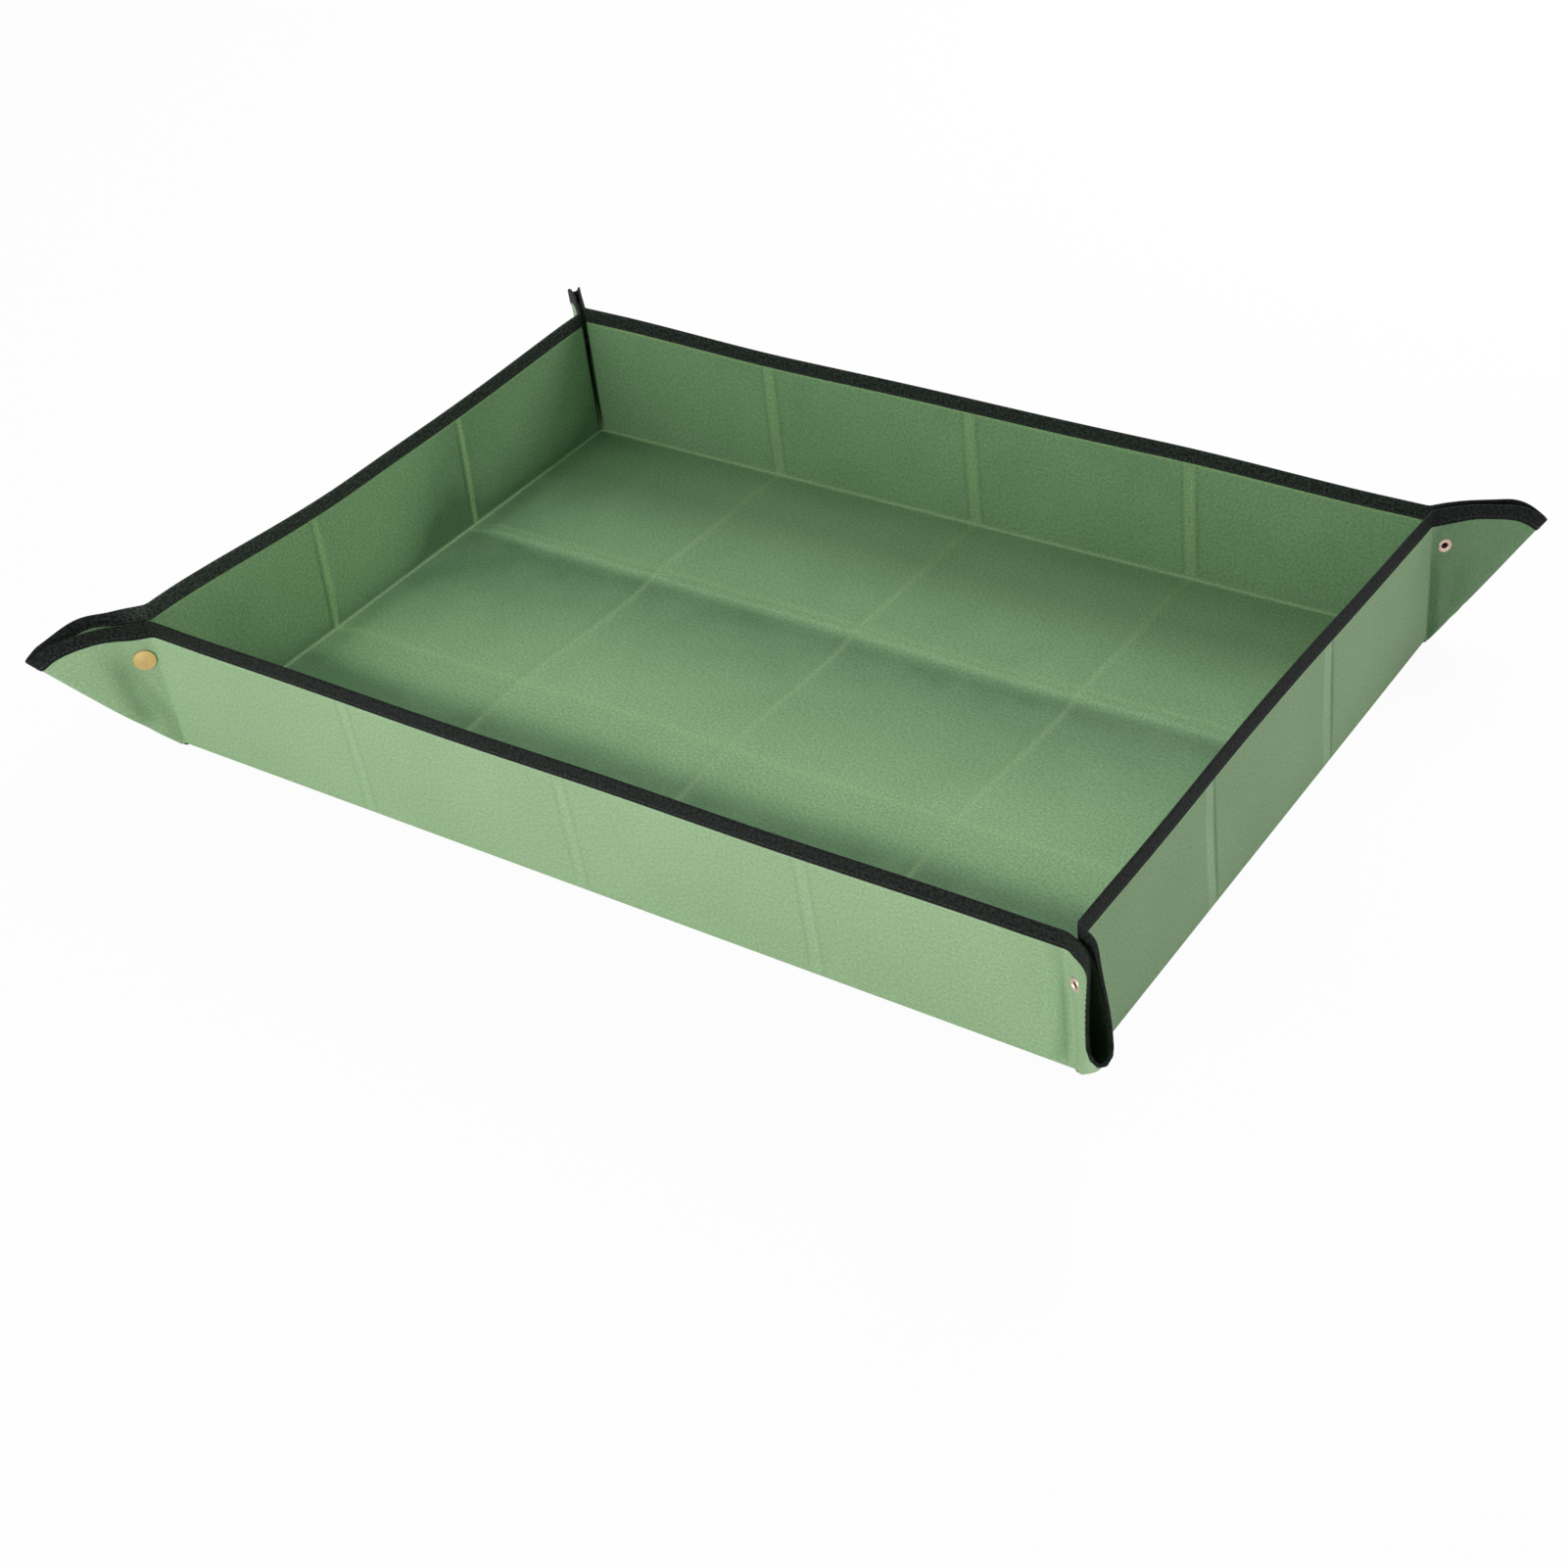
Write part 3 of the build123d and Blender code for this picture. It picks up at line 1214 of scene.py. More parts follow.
@dataclass
class FloorCloth(Surface):
    """Floor field of the sheet, lying on the ground."""

    row_folds: tuple[RowFold, ...] = (
        RowFold(
            place=FOLDS.rows[1], rise=4.6 * MM, near=20 * MM, far=78 * MM, pale=0.2,
            shade=0.88, shade_start=3 * MM, shade_full=18 * MM, shade_fade=150 * MM,
        ),
        RowFold(
            place=FOLDS.rows[0], rise=4.2 * MM, near=46 * MM, far=72 * MM, pale=0.25,
            shade=0.95, shade_start=20 * MM, shade_full=40 * MM, shade_fade=500 * MM,
        ),
    )
    column_height: float = 1.3 * MM
    column_width: float = 7 * MM
    column_pale: float = 0.28
    column_line: float = 2.6 * MM
    wave_height: float = 0.9 * MM
    wave_rates: Pair = (21.0, 17.0)
    wave_starts: Pair = (1.3, 0.4)
    settle: Ramp = Ramp(4 * MM, 26 * MM)
    far_band: Ramp = Ramp(FOLDS.rows[1] - 12 * MM, 10 * MM)
    far_shade: float = 0.46
    far_pale: float = 0.24
    far_pale_place: float = 205 * MM
    far_pale_width: float = 42 * MM
    left_shade: float = 0.6
    left_reach: float = 60 * MM
    sample: float = 6 * MM

    def height(self, x: Array, y: Array) -> Array:
        """Rise of the cloth above flat, from its storage folds.

        Args:
            x: Place along the length.
            y: Place along the width.

        Returns:
            Heights, never below zero.
        """
        along_wave = np.sin(self.wave_rates[0] * x + self.wave_starts[0])
        across_wave = np.sin(self.wave_rates[1] * y + self.wave_starts[1])
        rise = 0.5 * self.wave_height * (1.0 + along_wave * across_wave)
        for row in self.row_folds:
            rise = rise + row.height(x, y)
        for column in FOLDS.columns:
            rise = rise + self.column_height * bell(COLUMN_SWAY.past(column, x, y), self.column_width)
        edge = np.minimum(SIZES.length / 2 - np.abs(x), SIZES.width / 2 - np.abs(y))
        return rise * self.settle.at(edge)

    def points(self, along: Array, up: Array) -> Array:
        """Place flat coordinates in the tray's frame."""
        return np.stack([along, up, SIZES.half_cloth + self.height(along, up)], axis=-1)

    def flat(self, along: Array, up: Array) -> Array:
        """Place flat coordinates on the cut sheet."""
        return np.stack([along, up], axis=-1)

    def marks(self, along: Array, up: Array, face: Face) -> dict[str, Array]:
        """Marks painted on the floor: pale fold lines, and painted shade on the near side of the long ones,
        over the far band and towards the left end.

        Args:
            along: Place along the length.
            up: Place along the width.
            face: Which face of the sheet; not used, as both look the same here.

        Returns:
            Strength of the fold lines and of the shade.
        """
        crease = np.zeros_like(along)
        # Painted shade over the far band, lighter round its middle, where the back wall's shadow would fall.
        far_dip = self.far_pale * bell(up - self.far_pale_place, self.far_pale_width)
        shade = self.far_band.at(up) * (self.far_shade - far_dip)
        for row in self.row_folds:
            pale, row_shade = row.marks(along, up)
            crease = np.maximum(crease, pale)
            shade = np.maximum(shade, row_shade)
        for column in FOLDS.columns:
            past = COLUMN_SWAY.past(column, along, up)
            crease = np.maximum(crease, self.column_pale * bell(past, self.column_line))
        shade = shade + self.left_shade * np.exp(-(SIZES.length / 2 + along) / self.left_reach)
        return {"crease": crease, "shade": np.clip(shade, 0.0, 1.0)}

    def build(self, finishes: Finishes) -> Piece:
        """Make the floor's cloth.

        Args:
            finishes: The tray's materials.

        Returns:
            The new piece.
        """
        half_length = SIZES.length / 2 - SIZES.seam_inset
        half_width = SIZES.width / 2 - SIZES.seam_inset
        columns = spaced(-half_length, half_length, self.sample, FOLDS.columns)
        rows = spaced(-half_width, half_width, self.sample, FOLDS.rows)
        along, up = np.meshgrid(columns, rows)
        kept = np.ones((len(rows) - 1, len(columns) - 1), bool)
        piece = cloth_sheet("floor_cloth", self, along, up, kept, finishes.cloth)
        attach(piece, "floor")
        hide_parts("floor_panel")
        return piece


@dataclass(frozen=True)
class WallFold:
    """Look of the storage folds across one wall: a raised band, pale in the middle, with painted shade at its
    edges.
    """

    half: float = 5.5 * MM
    rise: float = 0.7 * MM
    pale: float = 0.35
    # Strengths of the painted shade along the band's left and right edges.
    left_edge: float = 0.2
    right_edge: float = 0.2
    slope: float = 3 * MM
    pale_slope: float = 2.2 * MM
    edge_out: float = 1 * MM
    edge_width: float = 1.3 * MM
    pale_rise: Ramp = Ramp(-2 * MM, 6 * MM)
    edge_rise: Ramp = Ramp(0.0, 10 * MM)

    def relief(self, past: Array) -> Array:
        """How far the band stands up, by the distance past its middle."""
        return self.rise * smooth((self.half + self.slope / 2 - np.abs(past)) / self.slope)

    def marks(self, past: Array, up: Array) -> tuple[Array, Array]:
        """Pale band, and painted shade along its edges.

        Args:
            past: Distance past the band's middle.
            up: Height up the sheet.

        Returns:
            Strength of the pale band and of the shade at its edges.
        """
        pale = self.pale * smooth((self.half - np.abs(past)) / self.pale_slope) * self.pale_rise.at(up)
        edge = self.half + self.edge_out
        dark = self.left_edge * bell(past + edge, self.edge_width)
        dark = dark + self.right_edge * bell(past - edge, self.edge_width)
        return pale, dark * self.edge_rise.at(up)


@dataclass(frozen=True)
class Wrinkle:
    """One upright wrinkle in a wall, and the shade on its flank."""

    place: float
    depth: float
    width: float = 5 * MM
    sway: float = 3 * MM
    sway_rate: float = 30.0
    flank: float = 9.5 * MM
    flank_width: float = 3.8 * MM
    flank_shade: float = 0.64
    rim_loss: float = 0.6
    reach: Band = Band(3 * MM, 22 * MM, SIZES.wall - 6 * MM, 30 * MM)
    shade_rise: Ramp = Ramp(0.0, 12 * MM)

    def past(self, along: Array, up: Array) -> Array:
        """Distance past the wrinkle's line."""
        return along - self.place - self.sway * np.sin(self.sway_rate * up)

    def relief(self, along: Array, up: Array) -> Array:
        """How far the wrinkle stands inwards."""
        return self.depth * bell(self.past(along, up), self.width) * self.reach.at(up)

    def shade(self, along: Array, up: Array) -> Array:
        """Shade on the flank, less towards the rim."""
        fade = self.shade_rise.at(up) * (1.0 - self.rim_loss * up / SIZES.wall)
        return self.flank_shade * bell(self.past(along, up) - self.flank, self.flank_width) * fade


@dataclass(frozen=True)
class WallShade:
    """Soft shade on one wall; hollows give their place along the wall, width and strength."""

    inside: float = 0.37
    inside_rim: float = 0.12
    inside_base: float = 0.0
    far_half: float = 0.0
    outside: float = 0.0
    hollows: tuple[tuple[float, float, float], ...] = ()
    base_reach: float = 13 * MM
    far_ramp: Ramp = Ramp(-20 * MM, -70 * MM)
    hollow_power: float = 1.5

    def at(self, along: Array, up: Array, face: Face) -> Array:
        """Slow shade over the wall: a little outside; by height, by half and in hollows inside.

        Args:
            along: Place along the wall.
            up: Height up the sheet.
            face: Which face of the sheet.

        Returns:
            Strength of the shade.
        """
        if face is Face.OUTSIDE:
            return np.full_like(along, self.outside)
        height = np.clip(up / SIZES.wall, 0.0, 1.0)
        shade = self.inside + self.inside_rim * height
        shade = shade + self.inside_base * np.exp(-np.maximum(up, 0.0) / self.base_reach)
        shade = shade + self.far_half * self.far_ramp.at(along)
        for place, width, strength in self.hollows:
            shade = shade + strength * bell(along - place, width) * (1.0 - height) ** self.hollow_power
        return shade


@dataclass
class WallCloth(Surface):
    """One wall of the sheet, with the strip of floor that it folds up from."""

    side: Side
    run: float
    across: float
    floor: FloorCloth
    lean: float = 0.0
    sag: float = 0.0
    phase: float = 0.0
    wrinkles: tuple[Wrinkle, ...] = ()
    left_dip: float = 0.0
    right_dip: float = 0.0
    # Painted light on the inside face of the tape, at the wall's left and right ends.
    dust: Pair = (0.0, 0.0)
    fold: WallFold = WallFold()
    # Painted shade over the wall.
    tone: WallShade = WallShade()
    inside: float = -1.0
    long_wave: float = 0.5 * MM
    long_rate: float = 24.0
    short_wave: float = 0.4 * MM
    short_rate: float = 61.0
    short_slant: float = 9.0
    lean_power: float = 1.2
    edge_pale: float = 0.5
    base_line: float = 1.4 * MM
    tape_line: float = 1.2 * MM
    off_base: Ramp = Ramp(4 * MM, 34 * MM)
    off_end: Ramp = Ramp(12 * MM, 48 * MM)
    below_rim: Ramp = Ramp(SIZES.wall - 10 * MM, -35 * MM)

    @property
    def label(self) -> str:
        """Name of the wall's body."""
        return f"{self.side.label}_wall"

    @property
    def end_fold(self) -> float:
        """Distance from the wall's middle to its upright end folds."""
        return self.run / 2 - SIZES.fold_inset

    def turned(self, x: Array | float, y: Array | float) -> tuple[Array, Array]:
        """Turn local level coordinates about Z to the wall's side."""
        cosine, sine = math.cos(self.side.turn), math.sin(self.side.turn)
        return x * cosine - y * sine, x * sine + y * cosine

    def placed(self, x: Array, y: Array, z: Array) -> Array:
        """Turn local places into the tray's frame.

        Args:
            x: Place along the wall.
            y: Place inwards from the base fold.
            z: Height over the floor's middle surface.

        Returns:
            Places in the tray's frame.
        """
        return np.stack([*self.turned(x, y - self.across / 2), z + SIZES.half_cloth], axis=-1)

    def spot(self, x: float, y: float, z: float) -> Array:
        """Turn one local place into the tray's frame."""
        return self.placed(*np.array([x, y, z]))

    def direction(self, x: float, y: float) -> Vector:
        """Turn a local level direction into the tray's frame."""
        return Vector((*self.turned(x, y), 0.0))

    def _calm(self, along: Array, up: Array) -> Array:
        """How free the wall is to move: nothing at the base fold and the ends."""
        return self.off_base.at(up) * self.off_end.at(self.run / 2 - np.abs(along))

    def relief(self, along: Array, up: Array) -> Array:
        """How far the wall stands inwards of its plane.

        Args:
            along: Place along the wall.
            up: Height up the sheet.

        Returns:
            Distances inwards.
        """
        height = np.clip(up / SIZES.wall, 0.0, None)
        low = self.below_rim.at(up)
        moved = self.long_wave * np.sin(self.long_rate * along + self.phase) * height
        ripple = np.sin(self.short_rate * along + 2.0 * self.phase + self.short_slant * up)
        moved = moved + self.short_wave * ripple * low
        for line in FOLDS.along(self.side):
            moved = moved + self.fold.relief(along - line) * low
        moved = moved * self._calm(along, up)
        free = (1.0 - corner_hold(np.abs(along) - self.end_fold)) * self.off_base.at(up)
        moved = moved + self.lean * height**self.lean_power * free
        for wrinkle in self.wrinkles:
            moved = moved + wrinkle.relief(along, up)
        return moved

    def points(self, along: Array, up: Array) -> Array:
        """Place flat coordinates in the tray's frame.

        Args:
            along: Place along the wall.
            up: Height up the sheet, negative on the floor strip.

        Returns:
            Places in the tray's frame.
        """
        radius = SIZES.base_fold_radius
        on_floor = up < -radius
        inset, lift = base_round(up)
        inward = np.where(on_floor, -up, inset)
        height = np.where(up <= -radius, 0.0, up + lift)
        spot = self.placed(along, inward, height)
        height = height + np.where(on_floor, self.floor.height(spot[..., 0], spot[..., 1]), 0.0)
        span = np.cos(math.pi * np.clip(along / self.run, -0.5, 0.5))
        height = height - self.sag * span * smooth(up / SIZES.wall) * self._calm(along, up)
        dip = np.where(along < 0, self.left_dip, self.right_dip)
        height = height - dip * rim_dip(np.abs(along) - self.end_fold, up)
        return self.placed(along, inward + self.relief(along, up), height)

    def flat(self, along: Array, up: Array) -> Array:
        """Place flat coordinates on the cut sheet."""
        return np.stack(self.turned(along, -up - self.across / 2), axis=-1)

    def marks(self, along: Array, up: Array, face: Face) -> dict[str, Array]:
        """Marks painted on the wall: pale fold bands with painted shade at their edges, a painted highlight
        along the base fold, a pale line under the tape, and painted shade over the wall.

        Args:
            along: Place along the wall.
            up: Height up the sheet, negative on the floor strip.
            face: Which face of the sheet.

        Returns:
            Strength of the fold lines and of the shade.
        """
        cover = SIZES.tape_cover if face is Face.INSIDE else SIZES.tape_cover_outside
        below_tape = SIZES.wall - cover - self.tape_line - up
        # Painted highlight along the base fold, and a pale line under the tape.
        crease = self.edge_pale * np.maximum(bell(up, self.base_line), bell(below_tape, self.tape_line))
        shade = self.tone.at(along, up, face)
        for line in FOLDS.along(self.side):
            pale, dark = self.fold.marks(along - line, up)
            crease = np.maximum(crease, pale)
            shade = shade + dark
        if face is Face.OUTSIDE:
            for wrinkle in self.wrinkles:
                shade = shade + wrinkle.shade(along, up)
        spot = self.placed(along, np.maximum(-up, 0.0), np.zeros_like(up))
        floor_marks = self.floor.marks(spot[..., 0], spot[..., 1], face)
        below = up < 0
        return {
            "crease": np.where(below, np.maximum(floor_marks["crease"], crease), crease),
            "shade": np.clip(np.where(below, floor_marks["shade"], shade), 0.0, 1.0),
        }

    def tape_dust(self, along: Array) -> Array:
        """How much the inside face of the tape is painted paler, from the wall's left end to its right:
        painted light.
        """
        return self.dust[0] + (self.dust[1] - self.dust[0]) * smooth(along / self.run + 0.5)

    def columns(self) -> Array:
        """Sample places along the wall, shared with the floor's edge."""
        half = self.run / 2 - SIZES.seam_inset
        return spaced(-half, half, self.floor.sample, FOLDS.along(self.side))

    def _grid(self) -> tuple[Array, Array, Array]:
        """Lay out the wall's cloth, with the heels that reach under the upright folds at its foot.

        Returns:
            Grids of both flat coordinates, and the cells that the cloth covers.
        """
        inset, radius, heel = SIZES.seam_inset, SIZES.base_fold_radius, SIZES.heel_height
        tape_foot, tape_middle = SIZES.wall - 17 * MM, SIZES.wall - 9 * MM
        rows = np.concatenate([
            np.linspace(-inset, -radius, 5)[:-1],
            np.linspace(-radius, radius, 9),
            np.linspace(radius, heel, 3)[1:],
            np.linspace(heel, tape_foot, 20)[1:],
            np.linspace(tape_foot, tape_middle, 9)[1:],
            np.linspace(tape_middle, SIZES.wall, 3)[1:],
        ])
        main = self.columns()
        steps = np.linspace(0.0, 1.0, 6)[1:]
        up = np.repeat(rows[:, None], len(main) + 2 * len(steps), axis=1)
        along = np.zeros_like(up)
        for index, row in enumerate(rows):
            mitre = min(self.run / 2 + row + 4 * MM, self.run / 2 + 0.5 * MM)
            limit = self.end_fold if row > 0 else mitre
            heel_columns = main[-1] + steps * (limit - main[-1])
            along[index] = np.concatenate([-heel_columns[::-1], main, heel_columns])
        kept = np.ones((len(rows) - 1, along.shape[1] - 1), bool)
        high = rows[1:] > heel + TINY
        kept[high, : len(steps)] = False
        kept[high, -len(steps):] = False
        return along, up, kept

    def build(self, finishes: Finishes) -> Piece:
        """Make the wall's cloth and its tape.

        Args:
            finishes: The tray's materials.

        Returns:
            The cloth.
        """
        radius = SIZES.base_fold_radius
        piece = cloth_sheet(f"{self.label}_cloth", self, *self._grid(), finishes.cloth)
        start = self.spot(0.0, radius, 0.0)
        end = self.spot(0.0, 0.0, radius)
        self.label
        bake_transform(piece)
        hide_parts(f"{self.label}_panel")
        tape = self.build_tape(finishes)
        return piece

    def build_tape(self, finishes: Finishes) -> Piece:
        """Make the tape along the wall's rim.

        Args:
            finishes: The tray's materials.

        Returns:
            The new piece.
        """
        columns = self.columns()
        edge = StraightEdge(float(columns[0]), float(columns[-1]))
        shares = (columns - columns[0]) / (columns[-1] - columns[0])
        tape = edge_tape(f"{self.label}_tape", self, edge, shares, finishes.edging)
        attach(tape, self.label)
        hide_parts(f"{self.label}_binding")
        return tape


@dataclass(frozen=True)
class FinShape:
    """How one corner's fin has settled; pairs give the cap's gusset, then the post's.

    Attributes:
        label: Name of the corner.
        sideways: How far the tip leans across the fin.
        curl: How far the rim curls across the fin, just past the upright folds.
        droop: How far the tip hangs.
        stretch: How far the tip reaches, out and up.
        level: How much the rim's crown is pressed down.
        bulge: How far a gusset stands off round the tip's loop.
        lens: How far it stands off between the loop and the rim.
        turn: Radius of its upright fold at the rim.
        pucker: How far it stands off beside the snap.
        dip: How far the rim dips at its upright fold.
        recess: Shade in the hollow beside that fold.
        soft: Width over which that shade grows.
        slant: How much the hollow moves out with height.
        dim: Shade over the whole gusset.
        streak: Shade along a soft crease across the gusset.
    """

    label: str
    sideways: float = 0.0
    curl: float = 0.0
    droop: float = 0.0
    stretch: float = 0.0
    level: float = 0.0
    bulge: Pair = (4.0 * MM, 4.0 * MM)
    lens: Pair = (0.0, 0.0)
    turn: Pair = (10 * MM, 10 * MM)
    pucker: Pair = (0.0, 0.0)
    dip: Pair = (0.0, 0.0)
    recess: Pair = (0.3, 0.3)
    soft: Pair = (3 * MM, 3 * MM)
    slant: Pair = (0.0, 0.0)
    dim: Pair = (0.0, 0.0)
    streak: Pair = (0.0, 0.0)


@dataclass
class GussetCloth(Surface):
    """One gusset of a corner fin, with the upright fold that joins it to its wall."""

    wall: WallCloth
    end: End
    fin: FinShape
    fold_radius: float = 2.5 * MM
    bulge_power: float = 1.3
    loop_root: float = 2.6 * MM
    loop_tip: float = 9.5 * MM
    hollow: float = 1.7 * MM
    hollow_width: float = 24 * MM
    lean_start: float = 16 * MM
    hollow_rows: Band = Band(12 * MM, 18 * MM, 73 * MM, 18 * MM)
    curl_start: float = -2 * MM
    curl_reach: float = 22 * MM
    curl_rows: Ramp = Ramp(90 * MM, 22 * MM)
    beside_snap: Band = Band(-6 * MM, 7 * MM, SIZES.snap_reach + 4 * MM, 11 * MM)
    pucker_height: float = 14 * MM
    crown_start: float = 8 * MM
    crown_length: float = 80 * MM
    level_depth: Ramp = Ramp(0.0, 45 * MM)
    slant_start: float = 25 * MM
    recess_fall: float = 8 * MM
    dim_rise: Ramp = Ramp(1 * MM, 4 * MM)
    dust_end: Ramp = Ramp(-4 * MM, 34 * MM)
    diagonal_pale: float = 0.35
    diagonal_line: float = 1.6 * MM
    streak_foot: float = 13.5 * MM
    streak_slope: float = 0.23
    streak_width: float = 8.5 * MM
    streak_rows: Band = Band(14 * MM, 24 * MM, 100 * MM, 30 * MM)
    blend_reach: float = 5 * MM
    flatten_keep: float = 0.12

    def __post_init__(self) -> None:
        """Set which way the inside faces."""
        self.inside = -float(self.end.value)

    @property
    def label(self) -> str:
        """Name of the gusset's body."""
        return f"{self.fold_label}_gusset"

    @property
    def fold_label(self) -> str:
        """Name of the wall and its end."""
        return f"{self.wall.label}_{self.end.label}"

    @property
    def half(self) -> int:
        """Which of the fin's pairs is this gusset's: 0 with the cap, 1 with the post."""
        return 0 if self.end is End.LEFT else 1

    def _bend(self, reach: Array, up: Array) -> tuple[Array, Array]:
        """Path round the upright fold, which is rounder towards the rim.

        Args:
            reach: Distance past the fold, along the sheet.
            up: Height up the sheet.

        Returns:
            Distance along the wall's direction, and outwards from its plane.
        """
        height = np.clip(up / SIZES.wall, 0.0, 1.05)
        radius = self.fold_radius + (self.fin.turn[self.half] - self.fold_radius) * height**1.5
        tangent = radius * math.tan(math.pi / 8)
        angle = np.clip((reach + tangent) / (2 * tangent), 0.0, 1.0) * math.pi / 4
        along = np.where(reach < -tangent, reach, -tangent + radius * np.sin(angle))
        out = np.where(reach < -tangent, 0.0, radius * (1.0 - np.cos(angle)))
        past = np.maximum(reach - tangent, 0.0) / ROOT_TWO
        return along + past, out + past

    def _pinched(self, along: Array, up: Array) -> tuple[Array, Array, Array]:
        """Pinch the gusset into its half of the fin, with the open loop along the diagonal crease.

        Args:
            along: Distance past the upright fold.
            up: Height up the sheet.

        Returns:
            Distance past the fold, height, and distance aside towards the other gusset.
        """
        inset = SIZES.fin_offset
        run = np.maximum((up + along) / ROOT_TWO, 0.0)
        depth = (up - along) / ROOT_TWO
        share = run / (SIZES.fin_tip * ROOT_TWO)
        swell = self.fin.bulge[self.half] * share**self.bulge_power
        loop = self.loop_root + (self.loop_tip - self.loop_root) * share
        fade = np.maximum(0.6 * run - 3 * MM, 2 * MM)
        eased = np.clip((depth - loop) / fade, 0.0, 1.0)
        lens = self.fin.lens[self.half] * share**2
        plain = -0.5 * swell * (1.0 + np.cos(math.pi * eased)) - lens * np.sin(math.pi * eased) ** 2
        angle = (math.pi / 2) * (1.0 - depth / loop)
        on_loop = (depth < loop) & (along > 0)
        wrapped = inset - (inset + swell) * np.cos(angle)
        aside = np.where(on_loop, wrapped, np.where(along > 0, plain, 0.0))
        new_depth = np.where(on_loop, loop - (loop + inset) * np.sin(angle), depth)
        reach = np.where(on_loop, (run - new_depth) / ROOT_TWO, along)
        height = np.where(on_loop, (run + new_depth) / ROOT_TWO, up)
        return reach, height, aside

    def _pushed(self, along: Array, up: Array, lean: Array) -> Array:
        """How far the hollow, the fin's lean and curl and the pucker push the gusset aside.

        Args:
            along: Distance past the upright fold.
            up: Height up the sheet.
            lean: Share of the tip's lean.

        Returns:
            Distances aside, towards the other gusset.
        """
        span = (along - SIZES.fin_start - self._slanted(up)) / self.hollow_width
        hollow = self.hollow * np.sin(math.pi * np.clip(span, 0.0, 1.0)) ** 2 * self.hollow_rows.at(up)
        past = np.maximum(along - self.curl_start, 0.0) / self.curl_reach
        curl = self.fin.curl * past**3 * np.exp(3.0 - 3.0 * past) * self.curl_rows.at(up)
        round_snap = self.beside_snap.at(along) * bell(up - SIZES.snap_height, self.pucker_height)
        pucker = self.fin.pucker[self.half] * round_snap
        return hollow - self.end.value * (self.fin.sideways * lean + curl) - pucker

    def points(self, along: Array, up: Array) -> Array:
        """Place flat coordinates in the tray's frame.

        Args:
            along: Distance past the upright fold.
            up: Height up the sheet.

        Returns:
            Places in the tray's frame.
        """
        lean = grow_square((along - self.lean_start) / (SIZES.fin_tip - self.lean_start))
        reach, height, aside = self._pinched(along, up)
        aside = aside + self._pushed(along, up, lean)
        on_crown = np.clip((along - self.crown_start) / self.crown_length, 0.0, 1.0)
        crown = np.sin(math.pi * on_crown) ** 2
        pressed = self.fin.level * crown * self.level_depth.at((up - along) / ROOT_TWO)
        height = height + (self.fin.stretch - self.fin.droop) * lean
        height = height - self.fin.dip[self.half] * rim_dip(along, up) - pressed
        inset_base, lift = base_round(up)
        height = np.maximum(height + lift, 0.0)
        path_along, path_out = self._bend(reach + self.fin.stretch * lean, up)
        on_fin = np.clip(along / np.maximum(up, 0.1 * MM), 0.0, 1.0)
        x = self.wall.end_fold + path_along + aside / ROOT_TWO - inset_base * on_fin
        y = inset_base - (path_out - aside / ROOT_TWO)
        return self.wall.placed(self.end.value * x, y, height)

    def flat(self, along: Array, up: Array) -> Array:
        """Place flat coordinates on the cut sheet."""
        return self.wall.flat(self._wall_place(along), up)

    def tape_dust(self, along: Array) -> Array:
        """How much the inside face of the tape is painted paler, as painted light: as on the wall, gone along
        the fin.
        """
        at_end = self.wall.tape_dust(np.full_like(along, self.end.value * self.wall.run / 2))
        return at_end * (1.0 - self.dust_end.at(along))

    def _wall_place(self, along: Array) -> Array:
        """Place along the wall of a distance past its upright fold."""
        return self.end.value * (self.wall.end_fold + along)

    def _slanted(self, up: Array) -> Array:
        """How far the hollow beside the upright fold has moved out, by height."""
        return self.fin.slant[self.half] * np.maximum(up - self.slant_start, 0.0)

    def _outer_shade(self, along: Array, up: Array) -> Array:
        """Shade on the outside: beside the fold, over the gusset and along its soft crease.

        Args:
            along: Distance past the upright fold.
            up: Height up the sheet.

        Returns:
            Strength of the shade.
        """
        moved = along - self._slanted(up)
        rise = self.fin.soft[self.half]
        full = rise + 2 * MM
        beside = np.where(moved < full, smooth((moved + 1 * MM) / rise), bell(moved - full, self.recess_fall))
        low = 0.4 + 0.6 * smooth((SIZES.wall - up) / (80 * MM))
        recess = self.fin.recess[self.half] * beside * low
        dim = self.fin.dim[self.half] * self.dim_rise.at(along)
        across = along - self.streak_foot - self.streak_slope * up
        streak = self.fin.streak[self.half] * bell(across, self.streak_width)
        return np.maximum(recess, dim) + streak * self.streak_rows.at(up)

    def marks(self, along: Array, up: Array, face: Face) -> dict[str, Array]:
        """Marks painted on the gusset: pale lines along its two folds, and painted shade on the outside.

        Args:
            along: Distance past the upright fold.
            up: Height up the sheet.
            face: Which face of the sheet.

        Returns:
            Strength of the fold lines and of the shade.
        """
        marks = self.wall.marks(self._wall_place(along), np.maximum(up, 0.0), face)
        diagonal = self.diagonal_pale * bell((up - along) / ROOT_TWO, self.diagonal_line)
        crease = np.maximum(marks["crease"] * (along < SIZES.fin_start), diagonal)
        shade = marks["shade"]
        if face is Face.OUTSIDE:
            shade = shade + self._outer_shade(along, up)
        return {"crease": crease, "shade": np.clip(shade, 0.0, 1.0)}

    def edge_direction(self) -> tuple[Vector, Vector, Vector]:
        """Directions at the upright fold at rest.

        Returns:
            Foot of the fold, the wall's direction and the fin's direction.
        """
        foot = Vector(self.wall.spot(self.end.value * self.wall.end_fold, 0.0, 0.0))
        along = self.wall.direction(float(self.end.value), 0.0)
        out = self.wall.direction(0.0, -1.0)
        return foot, along, (along + out).normalized()

